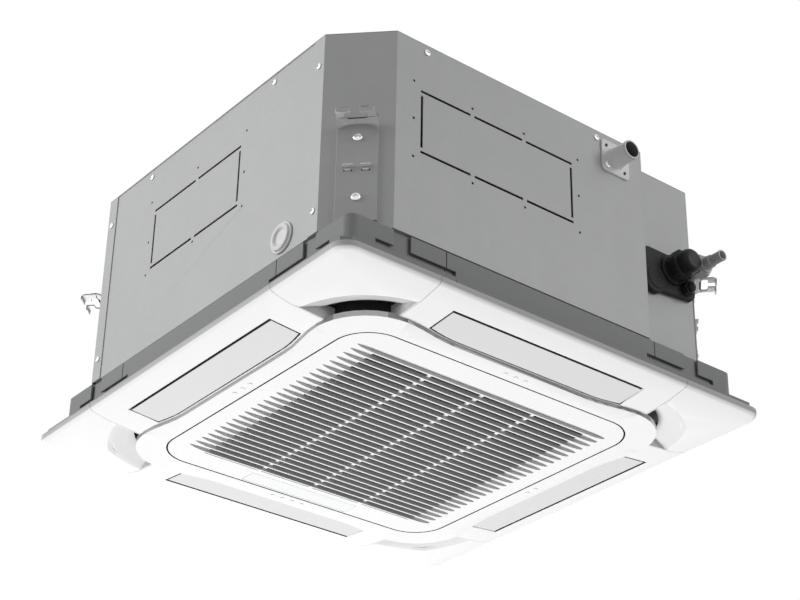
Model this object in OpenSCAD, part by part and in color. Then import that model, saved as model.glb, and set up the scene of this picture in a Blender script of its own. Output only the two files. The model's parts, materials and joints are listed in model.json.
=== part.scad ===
// Ceiling cassette air conditioner with a square panel, millimetres.
// Z points up, z = 0 is the ceiling plane, the panel centre is on the Z axis.

/* [Cabinet] */
// Width of the square cabinet
body_w = 576; // [570:1:582]
// Height of the cabinet
body_h = 261; // [255:1:275]
// Thickness of the cabinet sheets
sheet_t = 1.2; // [0.8:0.1:1.6]
// Leg of the corner chamfers
corner_leg = 58; // [54:1:62]
// Width of the pipe recess
recess_w = 137; // [133:1:143]
// Depth of the pipe recess
recess_d = 29.6; // [26:0.1:32]
// Width of the bottom flange of the sheets
flange_w = 22; // [18:1:24]
// Seams of the side sheets from the corner of the cabinet
seam_in = 76; // [72:1:80]
// Lap of a side sheet behind the corner strips
lap_w = 14; // [8:1:15]
// Height of the inner lips of the top plate
lip_h = 20; // [15:1:24]
// Width of the knock-out slots
slot_w = 3; // [2:0.1:4]
// Bridges left in the knock-out slots
bridge_w = 6; // [4:0.1:8]
// Outline of the knock-out of the front face, shares of the half width
front_knock_shares = [-0.677, 0.116]; // [-1:0.001:1]
// Outline of the knock-out of the left face, shares of the half width
left_knock_shares = [-0.406, 0.236]; // [-1:0.001:1]
// Height of the knock-outs, shares of the cabinet height
knock_z_shares = [0.43, 0.741]; // [0:0.001:1]
// Rows of pilot holes round the front knock-out, from its outline
front_pilot_gap = 10; // [8:0.5:12]
// Upper row of pilot holes of the left face, from its outline
left_pilot_up = 17; // [14:0.5:20]
// Lower row of pilot holes of the left face, from its outline
left_pilot_down = 6; // [5:0.5:8]
// Diameter of the pilot holes
pilot_d = 3; // [2:0.1:4]

/* [Screws and hanger brackets] */
// Diameter of the sheet screw heads
screw_d = 8; // [6:0.5:9]
// Height of the sheet screw heads
screw_h = 2; // [1.5:0.1:2.5]
// Shank of the sheet screws
shank_d = 3.4; // [3:0.1:4]
// Screws on the front face, shares of the half width
front_screw_shares = [-0.649, 0.264]; // [-1:0.001:1]
// Screws along the upper edge of the other faces
side_screw_shares = [-0.456, 0.456]; // [-1:0.001:1]
// Upper screw row, share of the cabinet height
screw_z_share = 0.957; // [0.955:0.001:0.965]
// Strip screws, shares of the cabinet height
strip_z_shares = [0.113, 0.847]; // [0:0.001:1]
// Strip screws from the seams of the side sheets
strip_screw_in = 9; // [5:1:12]
// Width of the bracket plates
bracket_w = 46; // [40:1:50]
// Width of the bracket plate in the recess corner
bracket_short_w = 36; // [30:1:38]
// Thickness of the bracket plates
bracket_t = 2; // [1.5:0.1:2.5]
// Shelf height above the ceiling plane
shelf_z = 190; // [180:1:200]
// Shelf length
shelf_l = 32; // [28:1:36]
// Share of the plate width that the shelf keeps
shelf_share = 0.913; // [0.85:0.001:0.96]
// Lower edge of the bracket plates
bracket_z = 62; // [58:1:70]
// Wide part of the hanger slot
hang_w = 26; // [20:1:27]
// Depth of the wide part of the hanger slot
hang_d = 9.4; // [8:0.1:10]
// Distance from the plate to the wide part of the slot
hang_y = 10.6; // [9:0.1:12]
// Mouth of the hanger slot for the threaded rod
mouth_w = 11; // [9:0.5:12]
// Height of the lips beside the mouth
mouth_lip = 7; // [5:0.5:9]
// Corner radius of the shelf
shelf_r = 6; // [4:0.5:8]
// Bracket screw head
big_screw_d = 10; // [8:0.5:12]
// Bracket screws, shares of the plate height
big_screw_shares = [0.235, 0.836]; // [0:0.001:1]
// Lance openings of the plate
lance_w = 9; // [7:0.5:10]
// Height of the lance openings
lance_h = 3; // [2:0.5:4]
// Lance openings, share of the plate height
lance_share = 0.52; // [0.45:0.01:0.6]

/* [Drain and pipes] */
// Drain flange side
drain_flange_w = 45; // [40:1:48]
// Drain flange thickness
drain_flange_t = 2.5; // [2:0.1:4]
// Drain flange corner radius
drain_flange_r = 6; // [4:0.5:8]
// Pitch of the drain flange holes
drain_pitch = 28; // [25:0.5:30]
// Drain stub outer diameter
drain_d = 25; // [22:0.1:27]
// Drain stub bore
drain_bore = 20; // [16:0.1:21]
// Drain stub length beyond the flange
drain_l = 31; // [25:1:38]
// Drain stub from the recess wall
drain_in = 46; // [41:1:51]
// Drain height
drain_z = 282; // [278:0.5:283]
// Drain check plug diameter
plug_d = 38; // [34:1:40]
// Drain check plug depth proud of the sheet
plug_h = 5; // [4:0.5:7]
// Drain check plug from the corner of the cabinet
plug_in = 124; // [118:1:130]
// Drain check plug height
plug_z = 75.5; // [75:0.5:80]
// Gasket plate width
gasket_w = 90; // [80:1:94]
// Gasket plate height
gasket_h = 60; // [54:1:66]
// Gasket plate thickness
gasket_t = 8; // [6:0.5:10]
// Gasket plate corner radius
gasket_r = 14; // [10:1:18]
// Gasket plate centre from the recess wall
gasket_in = 61; // [58:1:62]
// Gasket plate centre height
gasket_z = 172; // [170:1:176]
// Gas pipe from the recess wall
gas_in = 67; // [66:0.5:68]
// Gas pipe height
gas_z = 179; // [178:0.5:180]
// Gas pipe outer diameter
gas_d = 15.9; // [12.7:0.1:15.9]
// Gas nut across corners
gas_nut_d = 38; // [34:1:40]
// Gas nut length
gas_nut_l = 32; // [26:1:36]
// Liquid pipe from the recess wall
liquid_in = 97; // [96:0.5:98]
// Liquid pipe height
liquid_z = 187; // [185:1:188]
// Liquid pipe outer diameter
liquid_d = 9.5; // [8:0.1:10]
// Liquid nut across corners
liquid_nut_d = 29; // [26:1:30]
// Liquid nut length
liquid_nut_l = 15; // [12:1:18]
// Liquid nut distance from the recess wall
liquid_nut_y = 20; // [18:1:24]
// Stub on the liquid nut
liquid_stub_d = 12.7; // [11:0.1:14]
// Stub length
liquid_stub_l = 30; // [24:1:36]
// Cable gland from the recess wall
gland_in = 88; // [87.5:0.1:89]
// Cable gland height
gland_z = 159; // [158:0.1:159.5]
// Cable gland across corners
gland_d = 18; // [16:0.1:18.5]
// Cable gland length
gland_l = 16; // [13:1:20]

/* [Frame band] */
// Top of the frame band above the ceiling plane
frame_top = 51; // [48:0.5:53]
// Gap between the band and the cabinet
body_seam = 1.5; // [1:0.1:2]
// Wall of the frame band
frame_t = 2.5; // [2:0.1:3]
// Corner radius of the frame band
frame_r = 12; // [8:1:16]
// Underside of the frame base plate
frame_z = 5; // [4.5:0.1:6]
// Thickness of the frame base plate
base_t = 3; // [2.5:0.1:3.5]
// Edge of the base flange from the rim of the panel
base_in = 7.5; // [5.5:0.5:9.5]
// Corner cut of the base flange
base_cut = 9; // [6:0.5:12]
// Edge height of the base flange
edge_h = 4.5; // [4:0.1:5]
// Band slots, shares of the half width
band_slot_shares = [0.5, 0.88]; // [0.4:0.01:0.95]
// Height of the band slots
band_slot_h = 6; // [4:0.5:8]
// Lower edge of the band slots
band_slot_z = 25; // [22:0.5:27]
// Band notches, shares of the half width
band_notch_shares = [0.715, 0.795]; // [0.6:0.005:0.9]
// Position of the vertical band seams, share of the half width
band_seam_share = 0.545; // [0.5:0.005:0.6]
// Inner rib distance from the band face
rib_in = 4; // [3.5:0.1:5]

/* [Ceiling panel] */
// Lap of the panel beyond the cabinet
panel_lap = 24.5; // [22.5:0.5:27]
// Corner radius of the panel
panel_r = 22; // [18:1:26]
// Wall of the panel moulding
skin_t = 2.5; // [2.2:0.1:2.8]
// Straight height of the panel rim
rim_v = 1.5; // [1:0.1:2.5]
// Radius of the rolled rim edge
rim_r = 8; // [6:0.5:9]
// Width of the sloping border
slope_w = 29; // [28:0.5:30]
// Drop of the panel at the border's inner end
slope_z = 14.5; // [13.5:0.1:15]
// Drop of the panel at the ring
ring_foot_z = 18.2; // [17.8:0.1:18.6]
// Drop of the ring plate
ring_z = 22.3; // [21.8:0.1:22.8]
// Bow of the ring towards the middle of a side
ring_bow = 9.5; // [8:0.5:11]
// Width of the vane openings at their ends
vane_open_w = 41.5; // [40.5:0.5:42.5]
// Ring corner radius
ring_r = 70; // [66:1:74]
// Start of the curve along a side, share of the half width
curve_start_share = 0.42; // [0.38:0.01:0.46]
// Vane openings from the corner of the cabinet
vane_open_in = 145; // [143:0.5:147]
// Ledge between the ring and the vane openings
vane_ledge = 2.6; // [2:0.1:3]
// Gap between a vane and its opening
vane_gap = 2.2; // [2:0.1:2.5]
// Outer gap of the vanes
vane_outer_gap = 3.4; // [3:0.1:4]
// Seams of the corner covers from the vane openings
pillar_w = 40; // [39:0.5:41]
// Width of the cover seams
cover_gap = 0.6; // [0.5:0.1:0.8]
// Corner outlets inside the line of the vane openings
outlet_fit = 0.5; // [0.3:0.1:1]
// Centre of the corner outlets from the centre of the ring corner
outlet_in = 12.6; // [11.5:0.1:13]
// Inward run of the outlet scoop up to the frame
outlet_lean = 62; // [60:1:64]
// Depth of the slot behind the ring wall in a corner outlet
slot_d = 10; // [9:0.5:11]
// Top of the ring skirt below the ceiling plane
skirt_top = 1.6; // [1:0.1:2.5]
// Diameter of the raised dots
dot_d = 6; // [5:0.5:7]
// Height of the raised dots
dot_h = 0.6; // [0.4:0.1:1]
// Pitch of the raised dots
dot_pitch = 15; // [13:0.5:16]
// Dots from the centre, share of the ring half width
dot_share = 0.946; // [0.94:0.001:0.95]

/* [Vanes] */
// Height of the vane axis below the ceiling plane
vane_axis_z = 4; // [3.5:0.1:4.5]
// Vane axis from the outer edge of the opening
vane_axis_in = 21.5; // [20:0.5:23]
// Thickness of the vanes
vane_t = 3; // [2.5:0.1:3.2]
// Diameter of the vane pins
vane_pin_d = 4; // [3.5:0.1:4.5]
// Radial running fit of the vane pins
pin_fit = 0.05; // [0.03:0.01:0.1]
// Width of the vane end tabs
tab_w = 3; // [2.5:0.1:3.5]
// Diameter of the vane motors
step_d = 18; // [16:0.5:18]
// Length of the vane motors
step_l = 14; // [12:1:16]

/* [Intake grille] */
// Width of the ring at the middle of a side
ring_band = 23.2; // [22.5:0.1:23.5]
// Corner radius of the grille
grille_r = 45; // [42:1:47]
// Seam round the grille
grille_gap = 2; // [1.8:0.1:2.2]
// Border of the grille beside the fins
border_w = 49.3; // [48:0.1:52]
// Border of the grille in front of the fins
border_l = 37.3; // [36.5:0.1:39]
// Number of fins
fin_n = 27; // [21:1:27]
// Thickness of the fins
fin_t = 2.7; // [2.2:0.1:3]
// Depth of the fins below the plate
fin_drop = 4.3; // [3.5:0.1:5]
// Length of the pointed fin ends
fin_tip = 27.5; // [22:0.5:30]
// Depth of the fins above the plate
fin_up = 8; // [6:0.5:9]
// Width of the cross ribs
rib_w = 5; // [4:0.1:6]
// Drop of the cross ribs below the plate
rib_drop = 0.7; // [0.5:0.1:1.5]
// Half pitch of the cross ribs, share of the intake half width
rib_share = 0.49; // [0.45:0.01:0.55]
// Half width of the display strip
strip_half = 80; // [74:1:86]
// Front and back of the display strip, shares of the grille half width
strip_shares = [0.87, 0.985]; // [0.85:0.005:0.99]
// Seam round the display strip
strip_seam = 0.4; // [0.35:0.05:0.6]
// Hinge axis from the edge of the grille
hinge_in = 40; // [39:0.5:41]
// Hinge axis below the ceiling plane
hinge_z = 16.3; // [16.2:0.1:16.4]
// Hinge pin diameter
hinge_pin_d = 3; // [2.8:0.1:3]
// Radius of the hinge eyes
eye_r = 2.6; // [2.5:0.1:2.7]
// Middle of the knuckles from the side edge of the grille
hinge_side = 13.3; // [13:0.1:13.6]
// Width of the grille knuckles
knuckle_w = 8; // [7.4:0.1:8.4]
// Thickness of the hinge lugs
lug_t = 3; // [2.5:0.1:4]
// Side clearance of the hinge
side_fit = 0.4; // [0.35:0.05:0.6]
// Height of the ring lip round the grille
lip_z = 1.3; // [1.2:0.1:1.5]
// Relief behind the ring lip
relief = 2.2; // [2.1:0.1:2.6]
// Back frame from the edge of the grille
back_in = 17.3; // [15.5:0.1:19.5]
// Rim of the back frame round the filter
filter_rim = 15; // [13:1:18]
// Thickness of the filter
filter_t = 4; // [3:0.1:5]
// Clearance round the filter
filter_fit = 0.6; // [0.5:0.1:1]
// Gap under the filter, round the catch pins and between the frame sections
rest_gap = 0.35; // [0.3:0.01:0.5]
// Catch positions from the centre
catch_x = 120; // [110:1:130]
// Catch plunger diameter
catch_d = 5; // [4:0.1:5.5]
// Catch plunger length
catch_l = 22; // [20:1:24]
// Catch tip clearance to the panel wall
catch_fit = 1.2; // [1:0.1:1.5]

/* [Air path] */
// Thickness of the foam liner
liner_t = 8; // [6:0.5:9]
// Drain pan height
pan_h = 56; // [52:1:58]
// Inner edge of the pan air slots from the cabinet face
duct_w = 56; // [55:0.5:58]
// Outer edge of the pan air slots from the cabinet face
duct_rim = 17; // [16:0.5:20]
// Depth of the coil trough
trough_d = 16; // [12:1:20]
// Clearance between coil and trough walls
trough_gap = 6; // [5:0.5:7]
// Coil from the cabinet face
coil_in = 83; // [82:0.5:85]
// Coil thickness
coil_t = 28; // [25:0.5:28]
// Coil corner radius
coil_r = 62; // [58:1:66]
// Coil ends from the recess wall
coil_cut = 1; // [0:1:5]
// Gap between the coil and the top foam
coil_top_gap = 6; // [5:0.5:8]
// Number of return bends in a column
bend_n = 6; // [4:1:6]
// Coil tube diameter
tube_d = 7; // [6:0.1:7.9]
// Radius of the return bends
bend_r = 9; // [8.5:0.1:10]
// Gap between the bell mouth throat and the fan inlet
throat_gap = 6; // [5:0.5:8]
// Flare of the bell mouth
bell_flare = 40; // [38:0.5:41]
// Bell mouth plate from the line of the coil
bell_in = 5; // [2:1:9]
// Bell mouth wall
bell_t = 2.5; // [2:0.1:2.5]
// Bell mouth height above the pan underside
bell_h = 82; // [80:0.5:84]

/* [Fan and motor] */
// Gap between the fan and the coil
fan_gap = 22; // [20:0.5:27]
// Fan inlet edge inside the fan rim
inlet_in = 43; // [41:0.5:44]
// Fan wall thickness
fan_t = 2.5; // [2:0.1:3]
// Fan inlet height above the ceiling plane
fan_z = 128; // [127:0.5:130]
// Fan height
fan_h = 142; // [138:0.5:144]
// Number of blades
blade_n = 7; // [5:1:8]
// Blade thickness
blade_t = 4; // [3:0.1:5]
// Sweep of the blades in degrees
blade_sweep = 34; // [24:1:40]
// Hub radius
hub_r = 15; // [13:0.5:17]
// Shaft diameter
shaft_d = 10; // [8:0.1:11]
// Radial fit of the shaft
shaft_fit = 0.04; // [0.03:0.01:0.1]
// Motor radius
motor_r = 62; // [58:0.5:64]
// Motor height
motor_h = 44; // [40:0.5:46]
// Rubber mount radius
mount_r = 9; // [7:0.5:10]
// Rubber mount circle
mount_ring = 76; // [74:0.5:80]

/* [Drain pump and float] */
// Pump from the far side of the cabinet
pump_in = 96; // [95:0.5:98]
// Pump from the front of the cabinet
pump_side = 70; // [69:0.1:70.5]
// Pump body radius
pump_r = 27; // [24:0.5:28]
// Pump column radius
column_r = 10; // [9:0.5:11]
// Pump foot radius
foot_r = 16; // [15:0.5:17]
// Pump impeller radius
wheel_r = 11; // [10:0.5:12]
// Float from the far side of the cabinet
float_in = 54; // [53:0.5:56]
// Float from the front of the cabinet
float_side = 66; // [65:0.5:68]
// Float radius
float_r = 13; // [11:0.5:14]
// Float height
float_h = 18; // [14:0.5:20]
// Float stem radius
stem_r = 4; // [3.5:0.1:5]
// Radial fit of the float
float_fit = 0.5; // [0.4:0.1:0.8]
// Float travel
float_travel = 25; // [20:1:28]

/* [Control box] */
// Control box length
box_l = 290; // [270:1:300]
// Control box width
box_w = 50; // [46:1:52]
// Control box height
box_h = 38; // [34:1:39]
// Control box centre inside the pan air slots
box_in = 64; // [62:0.5:66]
// Control box sheet
box_t = 1.2; // [0.8:0.1:1.6]

/* [Hidden] */
$fn = 48;
e = sheet_t / 4;
bh = body_w / 2;
panel_w = body_w + 2 * panel_lap;
ph = panel_w / 2;
base_half = ph - base_in;
recess_x = bh - recess_w;
seam_y = bh - seam_in;
strip_screw_y = seam_y + strip_screw_in;
drain_x = recess_x - drain_in;
plug_y = bh - plug_in;
gasket_x = recess_x + gasket_in;
gas_x = recess_x + gas_in;
liquid_x = recess_x + liquid_in;
gland_x = recess_x + gland_in;
vane_open_y = bh - vane_open_in;
cover_y = vane_open_y + pillar_w;
duct_in = bh - duct_w;
duct_out = bh - duct_rim;
coil_half = bh - coil_in;
coil_end = recess_x - coil_cut;
bell_half = coil_half - bell_in;
fan_r = coil_half - coil_t - fan_gap;
inlet_r = fan_r - inlet_in;
throat_r = inlet_r - throat_gap;
bell_r = throat_r + bell_flare;
pump_x = bh - pump_in;
pump_y = bh - pump_side;
float_x = bh - float_in;
float_y = bh - float_side;
box_y = duct_in - box_in;
body_z = frame_top + body_seam;
body_top = body_z + body_h;
cover_z = body_top - sheet_t;
recess_y = bh - recess_d;
chamfer_k = 2 - sqrt(2);
ch_d = (2 * bh - corner_leg) / sqrt(2);
pan_z = body_z + sheet_t;
pan_top = pan_z + pan_h;
foam_in = 3 * sheet_t + liner_t;
open_x = ph - slope_w;
ring_end = open_x - vane_open_w;
ring_mid = ring_end - ring_bow;
grille_half = ring_mid - ring_band - grille_gap;
intake_half = grille_half - border_w;
intake_front = grille_half - border_l;
hinge_y = grille_half - hinge_in;
hinge_x = grille_half - hinge_side;
back_half = grille_half - back_in;
filter_half = back_half - filter_rim;
vane_x = open_x - vane_outer_gap;
axis_x = open_x - vane_axis_in;
ring_c = ring_end - ring_r;
outlet_c = ring_c - outlet_in;
slot_z = ring_foot_z - skin_t;
pan_arc = 0.16 * (open_x - cover_y);
outlet_r = sqrt(pow(open_x - outlet_fit - outlet_c, 2)
    + pow(cover_y + cover_gap - outlet_c, 2));
curve0 = curve_start_share * ring_end;
vane_y = vane_open_y - vane_gap;
wall_r = grille_half + grille_gap;
fin_pitch = (2 * intake_front - fin_t / 2) / (fin_n - 1 / 4);
fin_edge = intake_front + 1.2 * fin_t / 2.7;
plate_top = ring_z - skin_t;
coil_z = pan_top - trough_d;
coil_top = body_top - sheet_t - lip_h / 2 - coil_top_gap;
foam_top = body_top - sheet_t - lip_h / 2;
bolt_y = (vane_open_y + cover_y + step_l) / 2;
motor_z = foam_top - motor_h;
pump_z = pan_top - trough_d;
knock_z = [body_z + knock_z_shares[0] * body_h, body_z + knock_z_shares[1] * body_h];
big_z = [for (s = big_screw_shares) bracket_z + s * (shelf_z - bracket_z)];
short_c = [(bh + (2 * bh - corner_leg - recess_y)) / 2, -(recess_y + bh - corner_leg) / 2];
corner_spots = [
    [ch_d, 135, bracket_w, 0],
    [ch_d, 45, bracket_w, 0],
    [ch_d, -45, bracket_w, 0],
    [ch_d, 225, bracket_short_w, -(short_c[0] + short_c[1]) / sqrt(2)]
];

// Height of the panel border at a distance from the centre
function border_z(x) = -slope_z - (open_x - x) * (ring_foot_z - slope_z) / (open_x - ring_end);

// Outline of the cabinet moved inwards by t, with the pipe recess
function cab_pts(t) = let (b = bh - t, c = corner_leg - t * chamfer_k,
        rx = recess_x - t, ry = recess_y - t)
    [[-b, c - b], [c - b, -b], [rx, -b], [rx, -ry], [2 * b - c - ry, -ry],
     [b, c - b], [b, b - c], [b - c, b], [c - b, b], [-b, b - c]];

// Half width of the ring along a side, moved outwards by t
function ring_w(y, t) = let (s = min(1, max(0, (abs(y) - curve0) / (ring_c - curve0))))
    ring_mid + t + (ring_end - ring_mid) * s * s * (3 - 2 * s);

// Ring outline moved outwards by t
function ring_side(t) = [for (k = [-12:11]) let (y = ring_c * k / 12) [ring_w(y, t), y]];
function ring_arc(t) = [for (k = [0:9]) let (a = 10 * k)
    [ring_c + (ring_r + t) * cos(a), ring_c + (ring_r + t) * sin(a)]];
function turned(p, q) = [for (v = p) q == 0 ? v : q == 1 ? [-v[1], v[0]]
    : q == 2 ? [-v[0], -v[1]] : [v[1], -v[0]]];
function ring_pts(t) = let (s = concat(ring_side(t), ring_arc(t)))
    concat(turned(s, 0), turned(s, 1), turned(s, 2), turned(s, 3));

// Opening or vane outline on the +X side
function vane_pts(t, x1, y1) = concat([for (k = [-12:12]) let (y = y1 * k / 12) [ring_w(y, t), y]],
    [[x1, y1], [x1, -y1]]);

// Underside of the panel border from the rim inwards, lifted by t
function rim_pts(t) = concat([[ph - t, -rim_v]],
    [for (k = [1:7]) let (a = 11 * k)
        [ph - rim_r + (rim_r - t) * cos(a), -rim_v - (rim_r - t) * sin(a)]],
    [[open_x, t - slope_z], [ring_end, t - ring_foot_z]]);

module slab(z0, z1) {
    translate([0, 0, z0]) linear_extrude(height = z1 - z0) children();
}

module quarter(k) {
    rotate([0, 0, 90 * k]) children();
}

module rod_y(x, z, y0, y1, r0, r1) {
    translate([x, y0, z]) rotate([-90, 0, 0]) cylinder(h = y1 - y0, r1 = r0, r2 = r1);
}

module rod_x(y, z, x0, x1, r0, r1) {
    translate([x0, y, z]) rotate([0, 90, 0]) cylinder(h = x1 - x0, r1 = r0, r2 = r1);
}

module rounded(hx, hy, r) {
    square([2 * hx, 2 * (hy - r)], center = true);
    square([2 * (hx - r), 2 * hy], center = true);
    for (sx = [-1, 1], sy = [-1, 1])
        translate([sx * (hx - r), sy * (hy - r)]) circle(r = r);
}

module box3(x0, x1, y0, y1, z0, z1) {
    translate([x0, y0, z0]) cube([x1 - x0, y1 - y0, z1 - z0]);
}

module skin(t0, t1, z0, z1) {
    slab(z0, z1) difference() {
        polygon(cab_pts(t0));
        polygon(cab_pts(t1));
    }
}

// Pan head with a shank behind it, the head points along -Y
module screw(d, h) {
    rod_y(0, 0, -h, 0, 0.35 * d, d / 2);
    rod_y(0, 0, 0, sheet_t, shank_d / 2, shank_d / 2);
}

module knock_out(u0, u1, n, y0, y1, up, down) {
    w = (u1 - u0 - (n - 1) * bridge_w) / n;
    for (z = knock_z, k = [0:n - 1])
        box3(u0 + k * (w + bridge_w), u0 + k * (w + bridge_w) + w, y0, y1,
            z - slot_w / 2, z + slot_w / 2);
    for (u = [u0, u1 - slot_w])
        box3(u, u + slot_w, y0, y1, knock_z[0] + bridge_w, knock_z[1] - bridge_w);
    for (k = [0:n]) {
        u = k == 0 ? u0 - front_pilot_gap : k == n ? u1 + front_pilot_gap
            : u0 + k * (w + bridge_w) - bridge_w / 2;
        rod_y(u, knock_z[1] + up, y0, y1, pilot_d / 2, pilot_d / 2);
        rod_y(u, knock_z[0] - down, y0, y1, pilot_d / 2, pilot_d / 2);
    }
    for (u = [u0 - front_pilot_gap, u1 + front_pilot_gap])
        rod_y(u, (knock_z[0] + knock_z[1]) / 2, y0, y1, pilot_d / 2, pilot_d / 2);
}

module screw_bores(us, z, y) {
    for (u = us) rod_y(u, z, y - sheet_t, y + 3 * sheet_t, shank_d / 2, shank_d / 2);
}

module strip_bores(y) {
    for (s = [-1, 1], z = strip_z_shares)
        rod_y(s * strip_screw_y, body_z + z * body_h, y - sheet_t, y + 3 * sheet_t,
            shank_d / 2, shank_d / 2);
}

module top_plate() {
    lz = cover_z - lip_h;
    color([0.72, 0.73, 0.74]) difference() {
        union() {
            slab(cover_z, body_top) polygon(cab_pts(0));
            box3(2 * sheet_t - bh, 3 * sheet_t - bh, -seam_y, seam_y, lz, cover_z);
            box3(bh - 3 * sheet_t, bh - 2 * sheet_t, -seam_y, seam_y, lz, cover_z);
            box3(-seam_y, recess_x - lap_w, sheet_t - bh, 2 * sheet_t - bh, lz, cover_z);
            box3(-seam_y, seam_y, bh - 2 * sheet_t, bh - sheet_t, lz, cover_z);
        }
        slab(body_top - sheet_t / 2, body_top + e) difference() {
            circle(r = fan_r + hub_r);
            circle(r = fan_r);
        }
        rod_y(drain_x, drain_z, -bh, 3 * sheet_t - bh, drain_d / 2, drain_d / 2);
    }
}

module front_part(t0, t1, z0, z1, y1) {
    intersection() {
        skin(t0, t1, z0, z1);
        union() {
            box3(-bh, recess_x, -bh, -recess_y, z0, z1);
            box3(-bh, 0, -recess_y, y1, z0, z1);
        }
    }
}

module front_sheet() {
    color([0.6, 0.61, 0.62]) difference() {
        union() {
            front_part(0, sheet_t, body_z, cover_z, -seam_y);
            front_part(sheet_t, flange_w, body_z, body_z + sheet_t, corner_leg - bh);
        }
        knock_out(front_knock_shares[0] * bh, front_knock_shares[1] * bh, 3,
            -bh - e, 2 * sheet_t - bh, front_pilot_gap, front_pilot_gap);
        screw_bores([for (s = front_screw_shares) s * bh], body_z + screw_z_share * body_h, -bh);
        rod_y(drain_x, drain_z, -bh - e, 2 * sheet_t - bh, drain_d / 2, drain_d / 2);
        quarter(-1) strip_bores(-bh);
        bracket_bores(0);
    }
}

module left_sheet() {
    color([0.73, 0.74, 0.75]) difference() {
        union() {
            intersection() {
                skin(sheet_t, 2 * sheet_t, body_z, cover_z);
                box3(-bh, 0, -seam_y - lap_w, seam_y + lap_w, body_z, cover_z);
            }
            box3(2 * sheet_t - bh, flange_w - bh, -seam_y - lap_w, seam_y + lap_w,
                body_z, body_z + sheet_t);
        }
        quarter(-1) knock_out(left_knock_shares[0] * bh, left_knock_shares[1] * bh, 2,
            -bh - e, 3 * sheet_t - bh, left_pilot_up, left_pilot_down);
        quarter(-1) screw_bores([for (s = side_screw_shares) s * bh],
            body_z + screw_z_share * body_h, sheet_t - bh);
        rod_x(-plug_y, plug_z, -bh, 3 * sheet_t - bh, 0.37 * plug_d, 0.37 * plug_d);
    }
}

module back_part(t0, t1, z0, z1, y1) {
    intersection() {
        skin(t0, t1, z0, z1);
        box3(-bh, bh, y1, bh, z0, z1);
    }
}

module back_sheet() {
    color([0.66, 0.67, 0.68]) difference() {
        union() {
            back_part(0, sheet_t, body_z, cover_z, seam_y);
            back_part(sheet_t, flange_w, body_z, body_z + sheet_t, bh - corner_leg);
        }
        for (k = [-1, 1]) quarter(k) strip_bores(-bh);
        quarter(2) screw_bores([for (s = side_screw_shares) s * bh],
            body_z + screw_z_share * body_h, -bh);
        bracket_bores(1);
        bracket_bores(2);
    }
}

module right_sheet() {
    color([0.66, 0.67, 0.68]) difference() {
        union() {
            intersection() {
                skin(sheet_t, 2 * sheet_t, body_z, cover_z);
                box3(0, bh, -seam_y - lap_w, seam_y + lap_w, body_z, cover_z);
            }
            box3(bh - flange_w, bh - 2 * sheet_t, -seam_y - lap_w, seam_y + lap_w,
                body_z, body_z + sheet_t);
        }
        quarter(1) screw_bores([for (s = side_screw_shares) s * bh],
            body_z + screw_z_share * body_h, sheet_t - bh);
    }
}

module recess_sheet() {
    color([0.62, 0.63, 0.64]) difference() {
        union() {
            intersection() {
                skin(0, sheet_t, body_z, cover_z);
                box3(0, bh, -recess_y, -seam_y, body_z, cover_z);
            }
            intersection() {
                skin(sheet_t, flange_w, body_z, body_z + sheet_t);
                box3(recess_x, bh, -recess_y, corner_leg - bh, body_z, body_z + sheet_t);
            }
        }
        quarter(1) strip_bores(-bh);
        rod_y(gas_x, gas_z, -recess_y - e, 2 * sheet_t - recess_y, gas_d / 2, gas_d / 2);
        rod_y(liquid_x, liquid_z, -recess_y - e, 2 * sheet_t - recess_y, liquid_d / 2, liquid_d / 2);
        bracket_bores(3);
    }
}

module foam_liner() {
    w = 3 * sheet_t;
    color([0.2, 0.2, 0.21]) difference() {
        slab(pan_z, cover_z) polygon(cab_pts(w));
        slab(pan_z - e, foam_top) polygon(cab_pts(foam_in));
        translate([0, 0, foam_top - e])
            cylinder(h = lip_h, r = mount_ring + 2 * mount_r);
        rod_y(drain_x, drain_z, -bh, 2 * foam_in - bh, drain_d / 2, drain_d / 2);
        rod_y(gas_x, gas_z, -bh, foam_in - recess_y + sheet_t, gas_d / 2, gas_d / 2);
        rod_y(liquid_x, liquid_z, -bh, foam_in - recess_y + sheet_t, liquid_d / 2, liquid_d / 2);
        rod_x(-plug_y, plug_z, -bh, 2 * foam_in - bh, 0.37 * plug_d, 0.37 * plug_d);
    }
}

// Moves a piece to one corner chamfer, local +Y points outwards
module at_corner(k) {
    s = corner_spots[k];
    rotate([0, 0, s[1]]) translate([s[3], s[0], 0]) children();
}

module bracket_bores(k) {
    at_corner(k) for (z = big_z)
        rod_y(0, z, -3 * sheet_t, sheet_t, shank_d / 2, shank_d / 2);
}

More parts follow.
